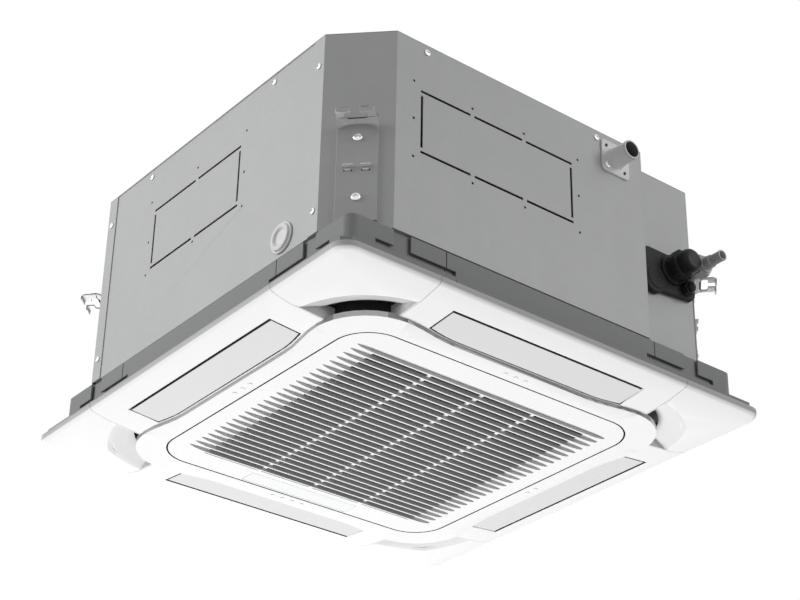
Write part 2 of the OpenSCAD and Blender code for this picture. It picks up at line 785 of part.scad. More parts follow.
module bracket(w) {
    sw = w / 2 * shelf_share;
    difference() {
        union() {
            box3(-w / 2, w / 2, 0, bracket_t, bracket_z, shelf_z);
            slab(shelf_z - bracket_t, shelf_z) difference() {
                union() {
                    translate([-sw, 0]) square([2 * sw, shelf_l - shelf_r]);
                    translate([shelf_r - sw, 0]) square([2 * (sw - shelf_r), shelf_l]);
                    for (s = [-1, 1])
                        translate([s * (sw - shelf_r), shelf_l - shelf_r]) circle(r = shelf_r);
                }
                translate([-min(hang_w / 2, sw - bracket_t), hang_y])
                    square([2 * min(hang_w / 2, sw - bracket_t), hang_d]);
                translate([-mouth_w / 2, hang_y]) square([mouth_w, shelf_l]);
            }
            for (s = [-1, 1])
                box3(s < 0 ? shelf_r - sw : mouth_w / 2, s < 0 ? -mouth_w / 2 : sw - shelf_r,
                    shelf_l - bracket_t, shelf_l, shelf_z - mouth_lip, shelf_z - e);
        }
        for (z = big_z) rod_y(0, z, -e, bracket_t + e, shank_d / 2, shank_d / 2);
        for (s = [-1, 1])
            box3(s < 0 ? -1.15 * lance_w - lance_w / 2 : 1.15 * lance_w - lance_w / 2,
                s < 0 ? -1.15 * lance_w + lance_w / 2 : 1.15 * lance_w + lance_w / 2,
                -e, bracket_t + e,
                bracket_z + lance_share * (shelf_z - bracket_z) - lance_h / 2,
                bracket_z + lance_share * (shelf_z - bracket_z) + lance_h / 2);
    }
}

module hanger_brackets() {
    color([0.7, 0.71, 0.72]) for (k = [0:3]) at_corner(k) bracket(corner_spots[k][2]);
}

module bracket_screws() {
    color([0.82, 0.83, 0.84]) for (k = [0:3], z = big_z)
        at_corner(k) translate([0, bracket_t, z]) {
            rod_y(0, 0, 0, screw_h, big_screw_d / 2, 0.35 * big_screw_d);
            rod_y(0, 0, -bracket_t - sheet_t, 0, shank_d / 2, shank_d / 2);
        }
}

module sheet_screws() {
    z = body_z + screw_z_share * body_h;
    color([0.82, 0.83, 0.84]) {
        for (s = front_screw_shares) translate([s * bh, -bh, z]) screw(screw_d, screw_h);
        for (k = [-1, 1], s = side_screw_shares)
            quarter(k) translate([s * bh, sheet_t - bh, z]) screw(screw_d, screw_h);
        for (s = side_screw_shares) quarter(2) translate([s * bh, -bh, z]) screw(screw_d, screw_h);
        for (k = [-1, 1], s = [-1, 1], h = strip_z_shares)
            quarter(k) translate([s * strip_screw_y, -bh, body_z + h * body_h])
                screw(screw_d, screw_h);
    }
}

module drain_flange() {
    hw = drain_flange_w / 2;
    color([0.72, 0.72, 0.72]) difference() {
        union() {
            translate([drain_x, -bh, drain_z]) rotate([90, 0, 0])
                linear_extrude(height = drain_flange_t) rounded(hw, hw, drain_flange_r);
            rod_y(drain_x, drain_z, -bh - drain_l, -bh, drain_d / 2, drain_d / 2);
            rod_y(drain_x, drain_z, -bh - drain_l / 4, -bh, drain_d / 2, 0.58 * drain_d);
            rod_y(drain_x, drain_z, -bh - e, foam_in - bh, drain_d / 2, drain_d / 2);
        }
        rod_y(drain_x, drain_z, -bh - drain_l - e, foam_in + e - bh, drain_bore / 2, drain_bore / 2);
        for (sx = [-1, 1], sz = [-1, 1])
            rod_y(drain_x + sx * drain_pitch / 2, drain_z + sz * drain_pitch / 2,
                -bh - 2 * drain_flange_t, e - bh, pilot_d / 2, pilot_d / 2);
    }
}

module drain_plug() {
    x = sheet_t - bh;
    color([0.62, 0.62, 0.62]) difference() {
        union() {
            rod_x(-plug_y, plug_z, x - plug_h / 2, x, plug_d / 2, plug_d / 2);
            rod_x(-plug_y, plug_z, x - plug_h, x, 0.4 * plug_d, 0.45 * plug_d);
            rod_x(-plug_y, plug_z, x - e, x + sheet_t, 0.37 * plug_d, 0.37 * plug_d);
        }
        rod_x(-plug_y, plug_z, x - plug_h - e, x - 0.6 * plug_h, 0.27 * plug_d, 0.27 * plug_d);
    }
}

module pipe_gasket() {
    color([0.14, 0.14, 0.15]) difference() {
        translate([gasket_x, -recess_y, gasket_z]) rotate([90, 0, 0])
            linear_extrude(height = gasket_t) rounded(gasket_w / 2, gasket_h / 2, gasket_r);
        rod_y(gas_x, gas_z, -bh, e - recess_y, gas_d / 2, gas_d / 2);
        rod_y(liquid_x, liquid_z, -bh, e - recess_y, liquid_d / 2, liquid_d / 2);
    }
}

module hex_y(x, z, y0, y1, d) {
    translate([x, y1, z]) rotate([90, 0, 0]) linear_extrude(height = y1 - y0)
        polygon([for (k = [0:5]) d / 2 * [cos(60 * k + 30), sin(60 * k + 30)]]);
}

module gas_nut() {
    y = -recess_y - gasket_t;
    color([0.13, 0.13, 0.14]) difference() {
        union() {
            rod_y(gas_x, gas_z, y - 0.3 * gas_nut_l, y, 0.47 * gas_nut_d, gas_nut_d / 2);
            hex_y(gas_x, gas_z, y - 0.8 * gas_nut_l, y - e, gas_nut_d);
            rod_y(gas_x, gas_z, y - gas_nut_l, y - e, 0.32 * gas_nut_d, 0.4 * gas_nut_d);
        }
        rod_y(gas_x, gas_z, y - gas_nut_l - e, y + e, gas_d / 2, gas_d / 2);
    }
}

module gas_pipe() {
    y = -recess_y - gasket_t;
    hx = coil_half - coil_t / 4;
    hy = coil_end + 1.6 * gas_d;
    br = gas_x - hx;
    color([0.72, 0.45, 0.3]) {
        difference() {
            rod_y(gas_x, gas_z, y - gas_nut_l - gas_d / 4, -hy - br, gas_d / 2, gas_d / 2);
            rod_y(gas_x, gas_z, y - gas_nut_l - gas_d, y - gas_nut_l / 4, 0.42 * gas_d, 0.42 * gas_d);
        }
        translate([hx, -hy - br, gas_z]) rotate_extrude(angle = 90)
            translate([br, 0]) circle(r = gas_d / 2);
        translate([hx, -hy, coil_z + coil_t]) cylinder(h = coil_top - coil_z - 2 * coil_t, r = 0.6 * gas_d);
        for (k = [0:3])
            rod_y(hx, coil_z + coil_t + gas_d + k * (coil_top - coil_z - 2 * coil_t - 2 * gas_d) / 3,
                -hy, -coil_end, tube_d / 2, tube_d / 2);
    }
}

module liquid_nut() {
    y = -recess_y - liquid_nut_y;
    color([0.5, 0.51, 0.52]) difference() {
        union() {
            hex_y(liquid_x, liquid_z, y - liquid_nut_l, y, liquid_nut_d);
            rod_y(liquid_x, liquid_z, y - e, -recess_y - gasket_t, liquid_nut_d / 2.4, liquid_nut_d / 2.4);
            rod_y(liquid_x, liquid_z, y - liquid_nut_l - liquid_stub_l / 3, y - e,
                0.6 * liquid_stub_d, 0.75 * liquid_stub_d);
            rod_y(liquid_x, liquid_z, y - liquid_nut_l - liquid_stub_l, y - e,
                liquid_stub_d / 2, liquid_stub_d / 2);
        }
        rod_y(liquid_x, liquid_z, y - liquid_nut_l - liquid_stub_l - e, e - recess_y,
            liquid_d / 2, liquid_d / 2);
    }
}

module liquid_pipe() {
    y = -recess_y - liquid_nut_y - liquid_nut_l - liquid_stub_l / 2;
    hy = coil_end - 2 * coil_t;
    hx = coil_half + 1.4 * liquid_d;
    br = liquid_x - hx;
    color([0.72, 0.45, 0.3]) {
        rod_y(liquid_x, liquid_z, y, -hy - br, liquid_d / 2, liquid_d / 2);
        translate([hx, -hy - br, liquid_z]) rotate_extrude(angle = 90)
            translate([br, 0]) circle(r = liquid_d / 2);
        translate([hx, -hy, coil_z + coil_t]) cylinder(h = coil_top - coil_z - 2 * coil_t, r = 0.7 * liquid_d);
        for (k = [0:3])
            rod_x(-hy, coil_z + coil_t + liquid_d + k * (coil_top - coil_z - 2 * coil_t - 2 * liquid_d) / 3,
                coil_half, hx, 0.4 * tube_d, 0.4 * tube_d);
    }
}

module cable_gland() {
    y = -recess_y - gasket_t;
    color([0.18, 0.18, 0.19]) {
        hex_y(gland_x, gland_z, y - 0.6 * gland_l, y, gland_d);
        rod_y(gland_x, gland_z, y - gland_l, y - e, 0.3 * gland_d, 0.42 * gland_d);
    }
}

module fan_motor() {
    fz = foam_top - fan_t;
    color([0.35, 0.36, 0.38]) {
        difference() {
            union() {
                translate([0, 0, motor_z]) cylinder(h = motor_h - fan_t + e, r = motor_r);
                translate([0, 0, fz]) cylinder(h = fan_t, r = mount_ring + mount_r);
            }
            for (k = [0:11]) rotate([0, 0, 30 * k])
                box3(0.5 * motor_r, 0.85 * motor_r, -fan_t, fan_t, motor_z - e, motor_z + fan_t);
        }
        translate([0, 0, motor_z - fan_t]) cylinder(h = 2 * fan_t, r = 0.35 * motor_r);
        translate([0, 0, fan_z + 0.4 * fan_h]) cylinder(h = motor_z - fan_z - 0.4 * fan_h, r = shaft_d / 2);
    }
}

module motor_mounts() {
    color([0.1, 0.1, 0.1]) for (k = [0:2]) rotate([0, 0, 120 * k + 30])
        translate([mount_ring, 0, foam_top]) difference() {
            cylinder(h = cover_z - foam_top, r = mount_r);
            translate([0, 0, -e]) cylinder(h = lip_h / 4, r = mount_r / 3);
        }
}

// Fan profile of the upper disc, radius and height
function disc_pts() = let (z = fan_z + fan_h - fan_t)
    [[hub_r - fan_t, z - 0.2 * fan_h], [motor_r + fan_t, z - 0.2 * fan_h], [0.72 * fan_r, z],
     [fan_r, z], [fan_r, z + fan_t], [0.71 * fan_r, z + fan_t],
     [motor_r + fan_t - fan_t / 3, z - 0.2 * fan_h + fan_t], [hub_r - fan_t, z - 0.2 * fan_h + fan_t]];

// Fan shroud from the inlet to the rim, moved into its wall by t
function shroud_pts(t) = [for (k = [0:8]) let (a = 90 * k / 8)
    [fan_r - (fan_r - inlet_r - t) * cos(a), fan_z + (0.24 * fan_h - t) * sin(a)]];

module blade() {
    n = 8;
    r0 = inlet_r + fan_t;
    function arc_pt(k, w) = let (r = r0 + (fan_r - fan_t - r0) * k / n,
        a = -blade_sweep * k / n + w / r * 180 / PI) [r * cos(a), r * sin(a)];
    polygon(concat([for (k = [0:n]) arc_pt(k, blade_t / 2)], [for (k = [n:-1:0]) arc_pt(k, -blade_t / 2)]));
}

module turbo_fan() {
    zt = fan_z + fan_h;
    q = shroud_pts(fan_t);
    color([0.85, 0.86, 0.88]) difference() {
        union() {
            rotate_extrude() polygon(disc_pts());
            rotate_extrude() polygon(concat(shroud_pts(0), [for (k = [8:-1:0]) q[k]]));
            intersection() {
                for (k = [0:blade_n - 1]) rotate([0, 0, 360 * k / blade_n])
                    slab(fan_z, zt - fan_t / 2) blade();
                rotate_extrude() polygon(concat(shroud_pts(fan_t / 2),
                    [[fan_r, zt], [inlet_r + fan_t / 2, zt]]));
            }
            translate([0, 0, zt - 0.5 * fan_h]) cylinder(h = 0.3 * fan_h, r = hub_r);
        }
        translate([0, 0, fan_z]) cylinder(h = 2 * fan_h, r = shaft_d / 2 + shaft_fit);
    }
}

module fan_nut() {
    zt = fan_z + 0.5 * fan_h;
    color([0.75, 0.75, 0.76]) difference() {
        translate([0, 0, zt - shaft_d / 2]) linear_extrude(height = shaft_d / 2)
            polygon([for (k = [0:5]) 0.9 * shaft_d * [cos(60 * k), sin(60 * k)]]);
        translate([0, 0, zt - shaft_d]) cylinder(h = 2 * shaft_d, r = shaft_d / 2 + shaft_fit);
    }
}

module bell_mouth() {
    z0 = pan_z - bell_t;
    wide = bell_r - bell_t - throat_r;
    high = bell_h - bell_t - throat_r / 12;
    color([0.24, 0.25, 0.27]) {
        difference() {
            slab(z0, pan_z) rounded(bell_half, bell_half, ring_r);
            translate([0, 0, z0 - e]) cylinder(h = 2 * bell_t, r = bell_r - bell_t);
        }
        rotate_extrude() polygon(concat(
            [for (k = [0:8]) let (a = 90 * k / 8)
                [bell_r - wide * sin(a), z0 + high * (1 - cos(a))]],
            [[bell_r - wide, z0 + bell_h + bell_t], [throat_r, z0 + bell_h + bell_t]],
            [for (k = [8:-1:0]) let (a = 90 * k / 8)
                [bell_r - bell_t - wide * sin(a), z0 + high * (1 - cos(a))]]));
    }
}

module coil_2d(t0, t1) {
    difference() {
        rounded(coil_half + t0, coil_half + t0, coil_r + t0);
        rounded(coil_half - coil_t - t1, coil_half - coil_t - t1, coil_r - coil_t - t1);
    }
}

module coil_fins() {
    color([0.8, 0.82, 0.84]) slab(coil_z, coil_top) difference() {
        coil_2d(0, 0);
        translate([coil_end, -bh]) square([bh, bh - coil_end]);
    }
}

module coil_bends() {
    step = (coil_top - coil_z - 2 * coil_t) / bend_n;
    color([0.72, 0.45, 0.3]) for (c = [1, 3], k = [0:2:bend_n - 1])
        translate([coil_end, c * coil_t / 4 - coil_half, coil_z + coil_t + (k + 1 / 2) * step])
            rotate([90, 0, 0]) rotate([0, 0, -90])
                rotate_extrude(angle = 180) translate([step / 2, 0]) circle(r = tube_d / 2);
}

module drain_pan() {
    color([0.93, 0.93, 0.92]) difference() {
        slab(pan_z, pan_top) difference() {
            polygon(cab_pts(foam_in));
            circle(r = bell_r);
            for (k = [0:3]) quarter(k) translate([duct_in, -vane_open_y])
                square([duct_out - duct_in, 2 * vane_open_y]);
            for (k = [0:2]) quarter(k + (k > 1 ? 1 : 0)) intersection() {
                translate([outlet_c, outlet_c]) difference() {
                    circle(r = outlet_r - pan_arc);
                    circle(r = outlet_r - 2 * pan_arc);
                }
                translate([cover_y, cover_y]) square([bh, bh]);
            }
        }
        slab(pan_top - trough_d, pan_top + e) coil_2d(trough_gap, trough_gap);
        slab(pan_top - trough_d, pan_top + e)
            translate([coil_end, -recess_y + foam_in + trough_gap])
                square([coil_half + 2 * coil_t - coil_end - trough_gap,
                    recess_y - foam_in - coil_end - trough_gap]);
    }
}

module pump_body() {
    z1 = drain_z - 2 * drain_d;
    color([0.9, 0.9, 0.9]) translate([pump_x, -pump_y, 0]) difference() {
        union() {
            translate([0, 0, z1]) cylinder(h = foam_top - z1, r = pump_r);
            translate([0, 0, pump_z + foot_r]) cylinder(h = z1 - pump_z - foot_r + e, r = column_r);
            translate([0, 0, pump_z]) cylinder(h = 1.5 * foot_r, r = foot_r);
            rod_x(0, drain_z, -1.35 * pump_r, 0, 0.42 * drain_d, 0.42 * drain_d);
        }
        translate([0, 0, pump_z - e]) cylinder(h = foot_r, r = foot_r - bell_t);
        rod_x(0, drain_z, -1.4 * pump_r, -pump_r / 2, 0.3 * drain_d, 0.3 * drain_d);
        for (k = [0:3]) rotate([0, 0, 90 * k + 45])
            box3(0, 2 * foot_r, -foot_r / 4, foot_r / 4, pump_z - e, pump_z + foot_r / 4);
        translate([0, 0, pump_z]) cylinder(h = 2 * foot_r, r = stem_r / 2 + shaft_fit);
    }
}

module pump_wheel() {
    color([0.3, 0.4, 0.5]) translate([pump_x, -pump_y, pump_z + foot_r / 3]) {
        cylinder(h = foot_r / 3, r = 0.35 * wheel_r);
        for (k = [0:3]) rotate([0, 0, 90 * k])
            box3(0, wheel_r, -bell_t / 3, bell_t / 3, 0, foot_r / 3);
        cylinder(h = 1.4 * foot_r, r = stem_r / 2);
    }
}

module float_stem() {
    color([0.85, 0.85, 0.8]) translate([float_x, -float_y, pump_z]) {
        cylinder(h = bell_t, r = float_r);
        cylinder(h = float_travel + float_h + 5 * bell_t, r = stem_r);
        translate([0, 0, float_travel + float_h + 4 * bell_t]) cylinder(h = bell_t, r = 2 * stem_r);
    }
}

module float_ring() {
    color([0.9, 0.6, 0.2]) translate([float_x, -float_y, pump_z + bell_t + rest_gap]) difference() {
        cylinder(h = float_h, r = float_r);
        translate([0, 0, -e]) cylinder(h = 2 * float_h, r = stem_r + float_fit);
    }
}

module drain_riser() {
    x1 = pump_x - 1.35 * pump_r;
    br = drain_d;
    ya = -bh + foam_in;
    color([0.25, 0.25, 0.26]) difference() {
        union() {
            rod_y(drain_x, drain_z, ya, -pump_y - br, drain_d / 2, drain_d / 2);
            translate([drain_x + br, -pump_y - br, drain_z]) rotate([0, 0, 90])
                rotate_extrude(angle = 90) translate([br, 0]) circle(r = drain_d / 2);
            rod_x(-pump_y, drain_z, drain_x + br, x1, drain_d / 2, drain_d / 2);
        }
        rod_y(drain_x, drain_z, ya - e, -pump_y - br + e, drain_bore / 2, drain_bore / 2);
        translate([drain_x + br, -pump_y - br, drain_z]) rotate([0, 0, 90])
            rotate_extrude(angle = 90) translate([br, 0]) circle(r = drain_bore / 2);
        rod_x(-pump_y, drain_z, drain_x + br - e, x1 + e, drain_bore / 2, drain_bore / 2);
    }
}

module control_box() {
    z1 = pan_z - bell_t;
    color([0.7, 0.71, 0.72]) difference() {
        box3(-box_l / 2, box_l / 2, -box_y - box_w / 2, box_w / 2 - box_y, z1 - box_h, z1);
        box3(box_t - box_l / 2, box_l / 2 - box_t, box_t - box_y - box_w / 2,
            box_w / 2 - box_y - box_t, z1 - box_h - e, z1 - box_t);
    }
}

module control_lid() {
    z1 = pan_z - bell_t - box_h;
    color([0.74, 0.75, 0.76]) difference() {
        box3(-box_l / 2 - box_t, box_l / 2 + box_t, -box_y - box_w / 2 - box_t,
            box_w / 2 - box_y + box_t, z1 - box_t, z1 + screw_d);
        box3(-box_l / 2, box_l / 2, -box_y - box_w / 2, box_w / 2 - box_y, z1, z1 + screw_d + e);
    }
}

module circuit_board() {
    z1 = pan_z - bell_t - box_t;
    y0 = -box_y - box_w / 2 + 4 * box_t;
    y1 = box_w / 2 - box_y - 4 * box_t;
    color([0.15, 0.4, 0.2]) {
        box3(-box_l / 2 + 4 * box_t, box_l / 5, y0, y1, z1 - box_h / 4 - box_t, z1 - box_h / 4);
        for (s = [-1, 1]) translate([-box_l / 7 + s * box_l / 3.2, -box_y, z1 - box_h / 4 - e])
            cylinder(h = box_h / 4 + e, r = shank_d);
        for (k = [0:3]) translate([-0.4 * box_l + k * box_l / 7, -box_y, z1 - box_h / 4 - box_t - box_h / 4])
            cylinder(h = box_h / 4 + e, r = screw_d / 2 + k * box_t / 3);
        box3(0.02 * box_l, 0.16 * box_l, y0 + box_w / 6, y1 - box_w / 6,
            z1 - box_h / 4 - box_t - box_h / 3, z1 - box_h / 4 - box_t + e);
    }
}

module terminal_block() {
    z1 = pan_z - bell_t - box_t;
    y0 = -box_y - box_w / 4;
    color([0.2, 0.2, 0.2]) difference() {
        box3(0.26 * box_l, 0.46 * box_l, y0, y0 + box_w / 2, z1 - box_h / 2, z1);
        for (k = [0:4]) translate([0.285 * box_l + k * 0.0375 * box_l, y0 + box_w / 4, z1 - box_h / 2 - e])
            cylinder(h = box_h / 8, r = shank_d);
    }
}

module panel_frame() {
    zt = frame_z + base_t;
    ri = bh - rib_in;
    color([0.52, 0.53, 0.54]) difference() {
        union() {
            slab(0, frame_z + edge_h) difference() {
                polygon([for (k = [0:3], s = [0, 1]) turned([s == 0 ? [base_half, base_cut - base_half]
                    : [base_half, base_half - base_cut]], k)[0]]);
                rounded(bh - frame_t, bh - frame_t, frame_r - frame_t);
            }
            slab(frame_z, zt) difference() {
                rounded(bh - frame_t + e, bh - frame_t + e, frame_r - frame_t);
                rounded(wall_r + relief, wall_r + relief, grille_r + grille_gap + relief);
                for (k = [0:3]) quarter(k) translate([duct_in - frame_t, -vane_open_y - frame_t])
                    square([ri - frame_t - duct_in + frame_t, 2 * (vane_open_y + frame_t)]);
            }
            slab(frame_z, frame_top) difference() {
                rounded(bh, bh, frame_r);
                rounded(bh - frame_t, bh - frame_t, frame_r - frame_t);
            }
            slab(frame_z, body_z) difference() {
                rounded(ri, ri, frame_r);
                rounded(ri - frame_t, ri - frame_t, frame_r - frame_t);
            }
            slab(zt - e, frame_z + base_t + rib_in) difference() {
                rounded(bh - frame_t / 2, bh - frame_t / 2, frame_r);
                rounded(ri - frame_t / 2, ri - frame_t / 2, frame_r);
            }
            slab(frame_z, pan_z) difference() {
                rounded(duct_in - frame_t, duct_in - frame_t, frame_r);
                rounded(duct_in - 2 * frame_t, duct_in - 2 * frame_t, frame_r);
            }
            for (k = [0:3], s = [-1, 1]) quarter(k)
                box3(duct_in - 2 * frame_t, ri - frame_t / 2,
                    s < 0 ? -vane_open_y - 2 * frame_t : vane_open_y + frame_t,
                    s < 0 ? -vane_open_y - frame_t : vane_open_y + 2 * frame_t, frame_z, frame_top);
        }
        for (k = [0:3], s = [-1, 1]) quarter(k) {
            box3(s < 0 ? -band_slot_shares[1] * bh : band_slot_shares[0] * bh,
                s < 0 ? -band_slot_shares[0] * bh : band_slot_shares[1] * bh,
                -bh - e, -bh + frame_t + e, band_slot_z, band_slot_z + band_slot_h);
            box3(s < 0 ? -band_notch_shares[1] * bh : band_notch_shares[0] * bh,
                s < 0 ? -band_notch_shares[0] * bh : band_notch_shares[1] * bh,
                -bh - e, -bh + frame_t + e, band_slot_z + band_slot_h / 2, frame_top + e);
            box3(s * band_seam_share * bh - cover_gap, s * band_seam_share * bh + cover_gap,
                -bh - e, -bh + frame_t / 2, band_slot_z + band_slot_h, frame_top + e);
            box3(s * band_seam_share * bh - rest_gap / 2, s * band_seam_share * bh + rest_gap / 2,
                -ph, -wall_r, -e, pan_z + e);
        }
        for (k = [0:3], s = [-1, 1]) quarter(k) translate([bh - flange_w + screw_d, s * bolt_y, frame_z - e])
            cylinder(h = 2 * base_t, r = shank_d / 2);
    }
}

// Solid under the panel surface lifted by t, the hollow reaches down from the ceiling plane
module border(t) {
    p = rim_pts(t);
    q = concat([[-ph + t, t]], [for (v = p) [-v[0], v[1]]], [for (k = [len(p) - 1:-1:0]) p[k]], [[ph - t, t]]);
    c = ph - panel_r;
    difference() {
        intersection() {
            rotate([90, 0, 0]) translate([0, 0, t - ph]) linear_extrude(height = 2 * (ph - t)) polygon(q);
            rotate([0, 0, 90]) rotate([90, 0, 0]) translate([0, 0, t - ph])
                linear_extrude(height = 2 * (ph - t)) polygon(q);
        }
        for (k = [0:3]) quarter(k) box3(c, ph + e, c, ph + e, -ring_z, rim_r);
    }
    for (k = [0:3]) quarter(k) translate([c, c, 0]) rotate_extrude(angle = 90)
        polygon(concat([[0, t], [0, p[8][1] + (c - p[8][0]) * (p[7][1] - p[8][1]) / (p[7][0] - p[8][0])]],
            [for (k = [7:-1:0]) [p[k][0] - c, p[k][1]]], [[panel_r - t, t]]));
}

module cover_zone(g, z0, z1) {
    for (k = [0:3]) quarter(k) box3(cover_y + g, ph + 1 + g, cover_y + g, ph + 1 + g, z0, z1);
}

module panel_shell() {
    difference() {
        union() {
            intersection() {
                border(0);
                slab(-ring_z, 0) square(2 * ph, center = true);
            }
            slab(-ring_z, -ring_foot_z + skin_t) polygon(ring_pts(0));
        }
        border(skin_t);
        slab(-plate_top, rim_r) polygon(ring_pts(-skin_t));
    }
}

module vane_cut(k) {
    quarter(k) slab(-ring_z, frame_z + e) polygon(vane_pts(vane_ledge, open_x, vane_open_y));
}

module panel_fascia() {
    color([0.95, 0.95, 0.95]) difference() {
        union() {
            panel_shell();
            slab(-plate_top - e, -skirt_top) difference() {
                polygon(ring_pts(0));
                polygon(ring_pts(-skin_t));
            }
            slab(rest_gap - plate_top, frame_z) difference() {
                rounded(wall_r + relief + skin_t, wall_r + relief + skin_t, grille_r + grille_gap + relief + skin_t);
                rounded(wall_r + relief, wall_r + relief, grille_r + grille_gap + relief);
                for (k = [0:3], s = [-1, 1]) quarter(k)
                    translate([wall_r, s * (wall_r - grille_r - grille_gap) - rest_gap / 2])
                        square([relief + 2 * skin_t, rest_gap]);
            }
            for (k = [0:3], s = [-1, 1]) quarter(k)
                box3(ring_end + 2 * vane_ledge, open_x, s < 0 ? -vane_open_y - skin_t : vane_open_y,
                    s < 0 ? -vane_open_y : vane_open_y + skin_t, -slope_z, frame_z);
            for (k = [0:3]) for (j = [0:[1, 3, 2, 2][k]]) quarter(k)
                translate([dot_share * ring_mid, (j - [1, 3, 2, 2][k] / 2) * dot_pitch, -ring_z - dot_h])
                    cylinder(h = dot_h + e, r = dot_d / 2);
        }
        for (k = [0:3]) vane_cut(k);
        slab(-ring_z - e, frame_z + e) rounded(wall_r, wall_r, grille_r + grille_gap);
        slab(lip_z - ring_z, frame_z + e) rounded(wall_r + relief, wall_r + relief, grille_r + grille_gap + relief);
        difference() {
            cover_zone(0, -ring_z, frame_z + e);
            slab(-ring_z - e, frame_z + 2 * e) polygon(ring_pts(0));
        }
        difference() {
            cover_zone(0, -slot_z, frame_z + e);
            slab(-slot_z - e, frame_z + 2 * e) polygon(ring_pts(-skin_t));
        }
        for (k = [0:3]) quarter(k) {
            rod_y(axis_x, -vane_axis_z, -vane_open_y - 2 * skin_t, vane_open_y + 2 * skin_t,
                vane_pin_d / 2 + pin_fit, vane_pin_d / 2 + pin_fit);
            slab(0.6 * skin_t - ring_foot_z, frame_z + e) translate([duct_in - 2 * frame_t, -vane_open_y])
                square([open_x - duct_in + 2 * frame_t - vane_axis_in, 2 * vane_open_y]);
        }
    }
}

// Cone over a corner outlet, its surface moved outwards by t
module scoop(t) {
    translate([outlet_c, outlet_c, -ring_foot_z - e])
        cylinder(h = ring_foot_z + frame_z + 2 * e, r1 = outlet_r + t, r2 = outlet_r - outlet_lean + t);
}

// Room of the ring and of the slots behind the ring wall
module ring_room() {
    slab(-ring_z - e, e - slot_z) polygon(ring_pts(cover_gap));
    slab(-ring_z - e, frame_z + e) polygon(ring_pts(-skin_t - slot_d));
}

module corner_covers() {
    w = cover_y + cover_gap;
    color([0.96, 0.96, 0.96]) {
        difference() {
            union() {
                intersection() {
                    panel_shell();
                    cover_zone(cover_gap, -ring_z, frame_z);
                }
                for (k = [0:3]) quarter(k) intersection() {
                    scoop(3 * skin_t);
                    box3(w, ph, w, ph, -slope_z - e, frame_z);
                    border(0 - frame_z);
                }
            }
            ring_room();
            for (k = [0:3]) quarter(k) scoop(0);
        }
        difference() {
            intersection() {
                for (k = [0:3]) quarter(k) intersection() {
                    scoop(2 * skin_t);
                    union() {
                        box3(w, w + skin_t / 2, outlet_c, ph, -ring_z, frame_z);
                        box3(outlet_c, ph, w, w + skin_t / 2, -ring_z, frame_z);
                    }
                }
                border(0);
            }
            ring_room();
        }
    }
}

module corner_pockets() {
    w = cover_y + cover_gap + skin_t / 2;
    b = skin_t + slot_d + e;
    color([0.2, 0.2, 0.21]) for (k = [0:3]) quarter(k) intersection() {
        box3(w, ph, w, ph, -plate_top, frame_z);
        union() {
            slab(-plate_top, -slot_z) difference() {
                polygon(ring_pts(-skin_t));
                polygon(ring_pts(-b - e));
            }
            slab(-plate_top, frame_z) difference() {
                polygon(ring_pts(-b));
                polygon(ring_pts(-b - skin_t));
            }
        }
    }
}

module panel_bolts() {
    color([0.7, 0.7, 0.72]) for (k = [0:3], s = [-1, 1]) quarter(k)
        translate([bh - flange_w + screw_d, s * bolt_y, 0]) {
            translate([0, 0, frame_z - base_t]) cylinder(h = base_t, r = shank_d);
            translate([0, 0, frame_z - e]) cylinder(h = body_z - frame_z + e, r = shank_d / 2);
        }
}

// One vane on the +X side
module vane() {
    intersection() {
        slab(-ring_z, 0) polygon(vane_pts(vane_ledge + vane_gap, vane_x, vane_y));
        rotate([90, 0, 0]) translate([0, 0, -vane_y - e]) linear_extrude(height = 2 * (vane_y + e))
            polygon([[vane_x, border_z(vane_x) + vane_t], [vane_x, border_z(vane_x)],
                [ring_mid, border_z(ring_mid)], [ring_mid, border_z(ring_mid) + vane_t]]);
    }
    for (s = [-1, 1]) {
        y0 = s < 0 ? -vane_y : vane_y - tab_w;
        rod_y(axis_x, -vane_axis_z, y0, y0 + tab_w, 1.4 * vane_pin_d, 1.4 * vane_pin_d);
        box3(axis_x - 1.4 * vane_pin_d, axis_x + 1.4 * vane_pin_d, y0, y0 + tab_w,
            vane_t - ring_foot_z, -vane_axis_z);
        rod_y(axis_x, -vane_axis_z, s < 0 ? -vane_open_y - 3 * skin_t : vane_y - e,
            s < 0 ? e - vane_y : vane_open_y + 3 * skin_t, vane_pin_d / 2, vane_pin_d / 2);
    }
}

module vane_right() {
    color([0.86, 0.86, 0.87]) vane();
}

module vane_back() {
    color([0.86, 0.86, 0.87]) quarter(1) vane();
}

module vane_left() {
    color([0.86, 0.86, 0.87]) quarter(2) vane();
}

module vane_front() {
    color([0.86, 0.86, 0.87]) quarter(3) vane();
}

module vane_motors() {
    y0 = vane_open_y + skin_t;
    color([0.75, 0.75, 0.78]) for (k = [0:3]) quarter(k) difference() {
        union() {
            rod_y(axis_x, -vane_axis_z, y0, y0 + step_l, step_d / 2, step_d / 2);
            box3(axis_x - step_d / 4, axis_x + step_d / 4, y0, y0 + step_l, 0, frame_z);
        }
        rod_y(axis_x, -vane_axis_z, y0 - e, y0 + 3 * skin_t, vane_pin_d / 2 + pin_fit, vane_pin_d / 2 + pin_fit);
    }
}

// Side view of one fin, from the middle to the pointed end
function fin_side() = let (x0 = intake_half)
    concat([[0, fin_up - ring_z], [0, -ring_z - fin_drop]],
    [for (k = [0:8]) let (s = sin(90 * k / 8))
        [x0 + fin_tip * s, -ring_z - fin_drop * cos(90 * k / 8)]],
    [[x0 + fin_tip, e - ring_z], [x0 + e, e - ring_z], [x0 + e, fin_up - ring_z]]);

module fin_row() {
    p = fin_side();
    for (k = [0:fin_n - 1])
        translate([0, -fin_edge + k * fin_pitch + fin_t, 0]) rotate([90, 0, 0])
            linear_extrude(height = fin_t)
                polygon(concat(p, [for (j = [len(p) - 1:-1:2]) [-p[j][0], p[j][1]]]));
}

